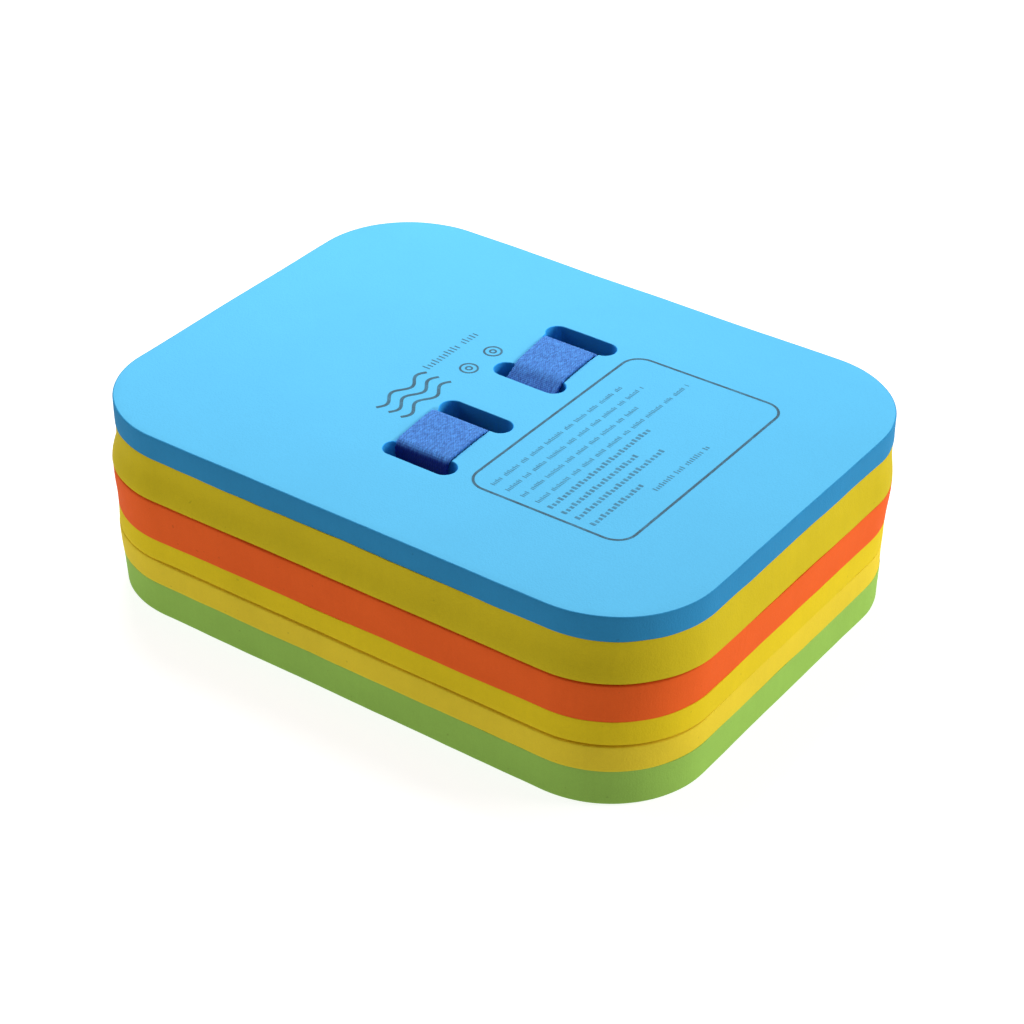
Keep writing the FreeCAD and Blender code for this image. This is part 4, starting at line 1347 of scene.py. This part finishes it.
def build_stage():
    """A pale floor. It looks brighter than the light that it throws back at the boards."""
    mesh = bpy.data.meshes.new("floor")
    reach = 4.0
    corners = [(-reach, -reach, 0), (reach, -reach, 0), (reach, reach, 0), (-reach, reach, 0)]
    mesh.from_pydata(corners, [], [(0, 1, 2, 3)])
    floor = linked("floor", mesh)
    floor.location.z = -0.3 * MM
    material = bpy.data.materials.new("floor_pale")
    material.use_nodes = True
    nodes, links = material.node_tree.nodes, material.node_tree.links
    seen = nodes["Principled BSDF"]
    felt = nodes.new("ShaderNodeBsdfPrincipled")
    for shader, (pale, glow) in ((seen, FLOOR_SEEN), (felt, FLOOR_FELT)):
        shader.inputs["Base Color"].default_value = (pale, pale, pale, 1)
        shader.inputs["Roughness"].default_value = 0.95
        shader.inputs["Specular IOR Level"].default_value = 0.05
        shader.inputs["Emission Color"].default_value = (1, 1, 1, 1)
        shader.inputs["Emission Strength"].default_value = glow
    pick = nodes.new("ShaderNodeMixShader")
    links.new(nodes.new("ShaderNodeLightPath").outputs["Is Camera Ray"], pick.inputs[0])
    links.new(felt.outputs[0], pick.inputs[1])
    links.new(seen.outputs[0], pick.inputs[2])
    links.new(pick.outputs[0], nodes["Material Output"].inputs["Surface"])
    mesh.materials.append(material)


def area_light(name, place, aim, size, power):
    data = bpy.data.lights.new(name, "AREA")
    data.shape = "DISK"
    data.size = size
    data.energy = power
    lamp = linked(name, data)
    lamp.location = place
    lamp.rotation_euler = (Vector(aim) - Vector(place)).to_track_quat("-Z", "Y").to_euler()


def build_light():
    """A soft key above and behind the left end, a strong light behind the right end, and a weak
    one off the left end."""
    scene = bpy.context.scene
    scene.view_settings.view_transform = "Standard"
    world = bpy.data.worlds.new("studio")
    world.use_nodes = True
    nodes, links = world.node_tree.nodes, world.node_tree.links
    background = nodes["Background"]
    background.inputs["Color"].default_value = (1, 1, 1, 1)
    strength = nodes.new("ShaderNodeMapRange")
    strength.inputs["To Min"].default_value = SKY_FELT
    strength.inputs["To Max"].default_value = SKY_SEEN
    links.new(nodes.new("ShaderNodeLightPath").outputs["Is Camera Ray"], strength.inputs["Value"])
    links.new(strength.outputs[0], background.inputs["Strength"])
    scene.world = world
    middle = (0, 0, 0.05)
    area_light("key_above", (-0.3, 0.3, 0.9), middle, 0.45, 8.5)
    area_light("side_right", (1.5, 1.0, 0.65), middle, 0.9, 21.5)
    area_light("side_left", (-1.5, -0.8, 0.6), middle, 1.0, 7)


# The camera stands off the front right corner, looking down at the boards.
AZIMUTH, ELEVATION, ROLL = 34.70, 33.84, 0.96
DISTANCE = 1.10617
TARGET = Vector((0.01352, -0.01202, 0.0435))
LENS = 95.05


def build_camera():
    azimuth, elevation = math.radians(AZIMUTH), math.radians(ELEVATION)
    back = Vector((math.sin(azimuth) * math.cos(elevation),
                   -math.cos(azimuth) * math.cos(elevation), math.sin(elevation)))
    data = bpy.data.cameras.new("camera")
    data.sensor_width = 36.0
    data.lens = LENS
    camera = linked("camera", data)
    camera.location = TARGET + back * DISTANCE
    aim = (-back).to_track_quat("-Z", "Y")
    camera.rotation_euler = aim.to_euler()
    camera.rotation_euler.rotate_axis("Z", math.radians(ROLL))
    bpy.context.scene.camera = camera


build_camera()
build_light()
build_stage()
build_boards()
build_belt(webbing_material())
build_band()
build_buckle(plastic_material())
build_bartack()
build_print()
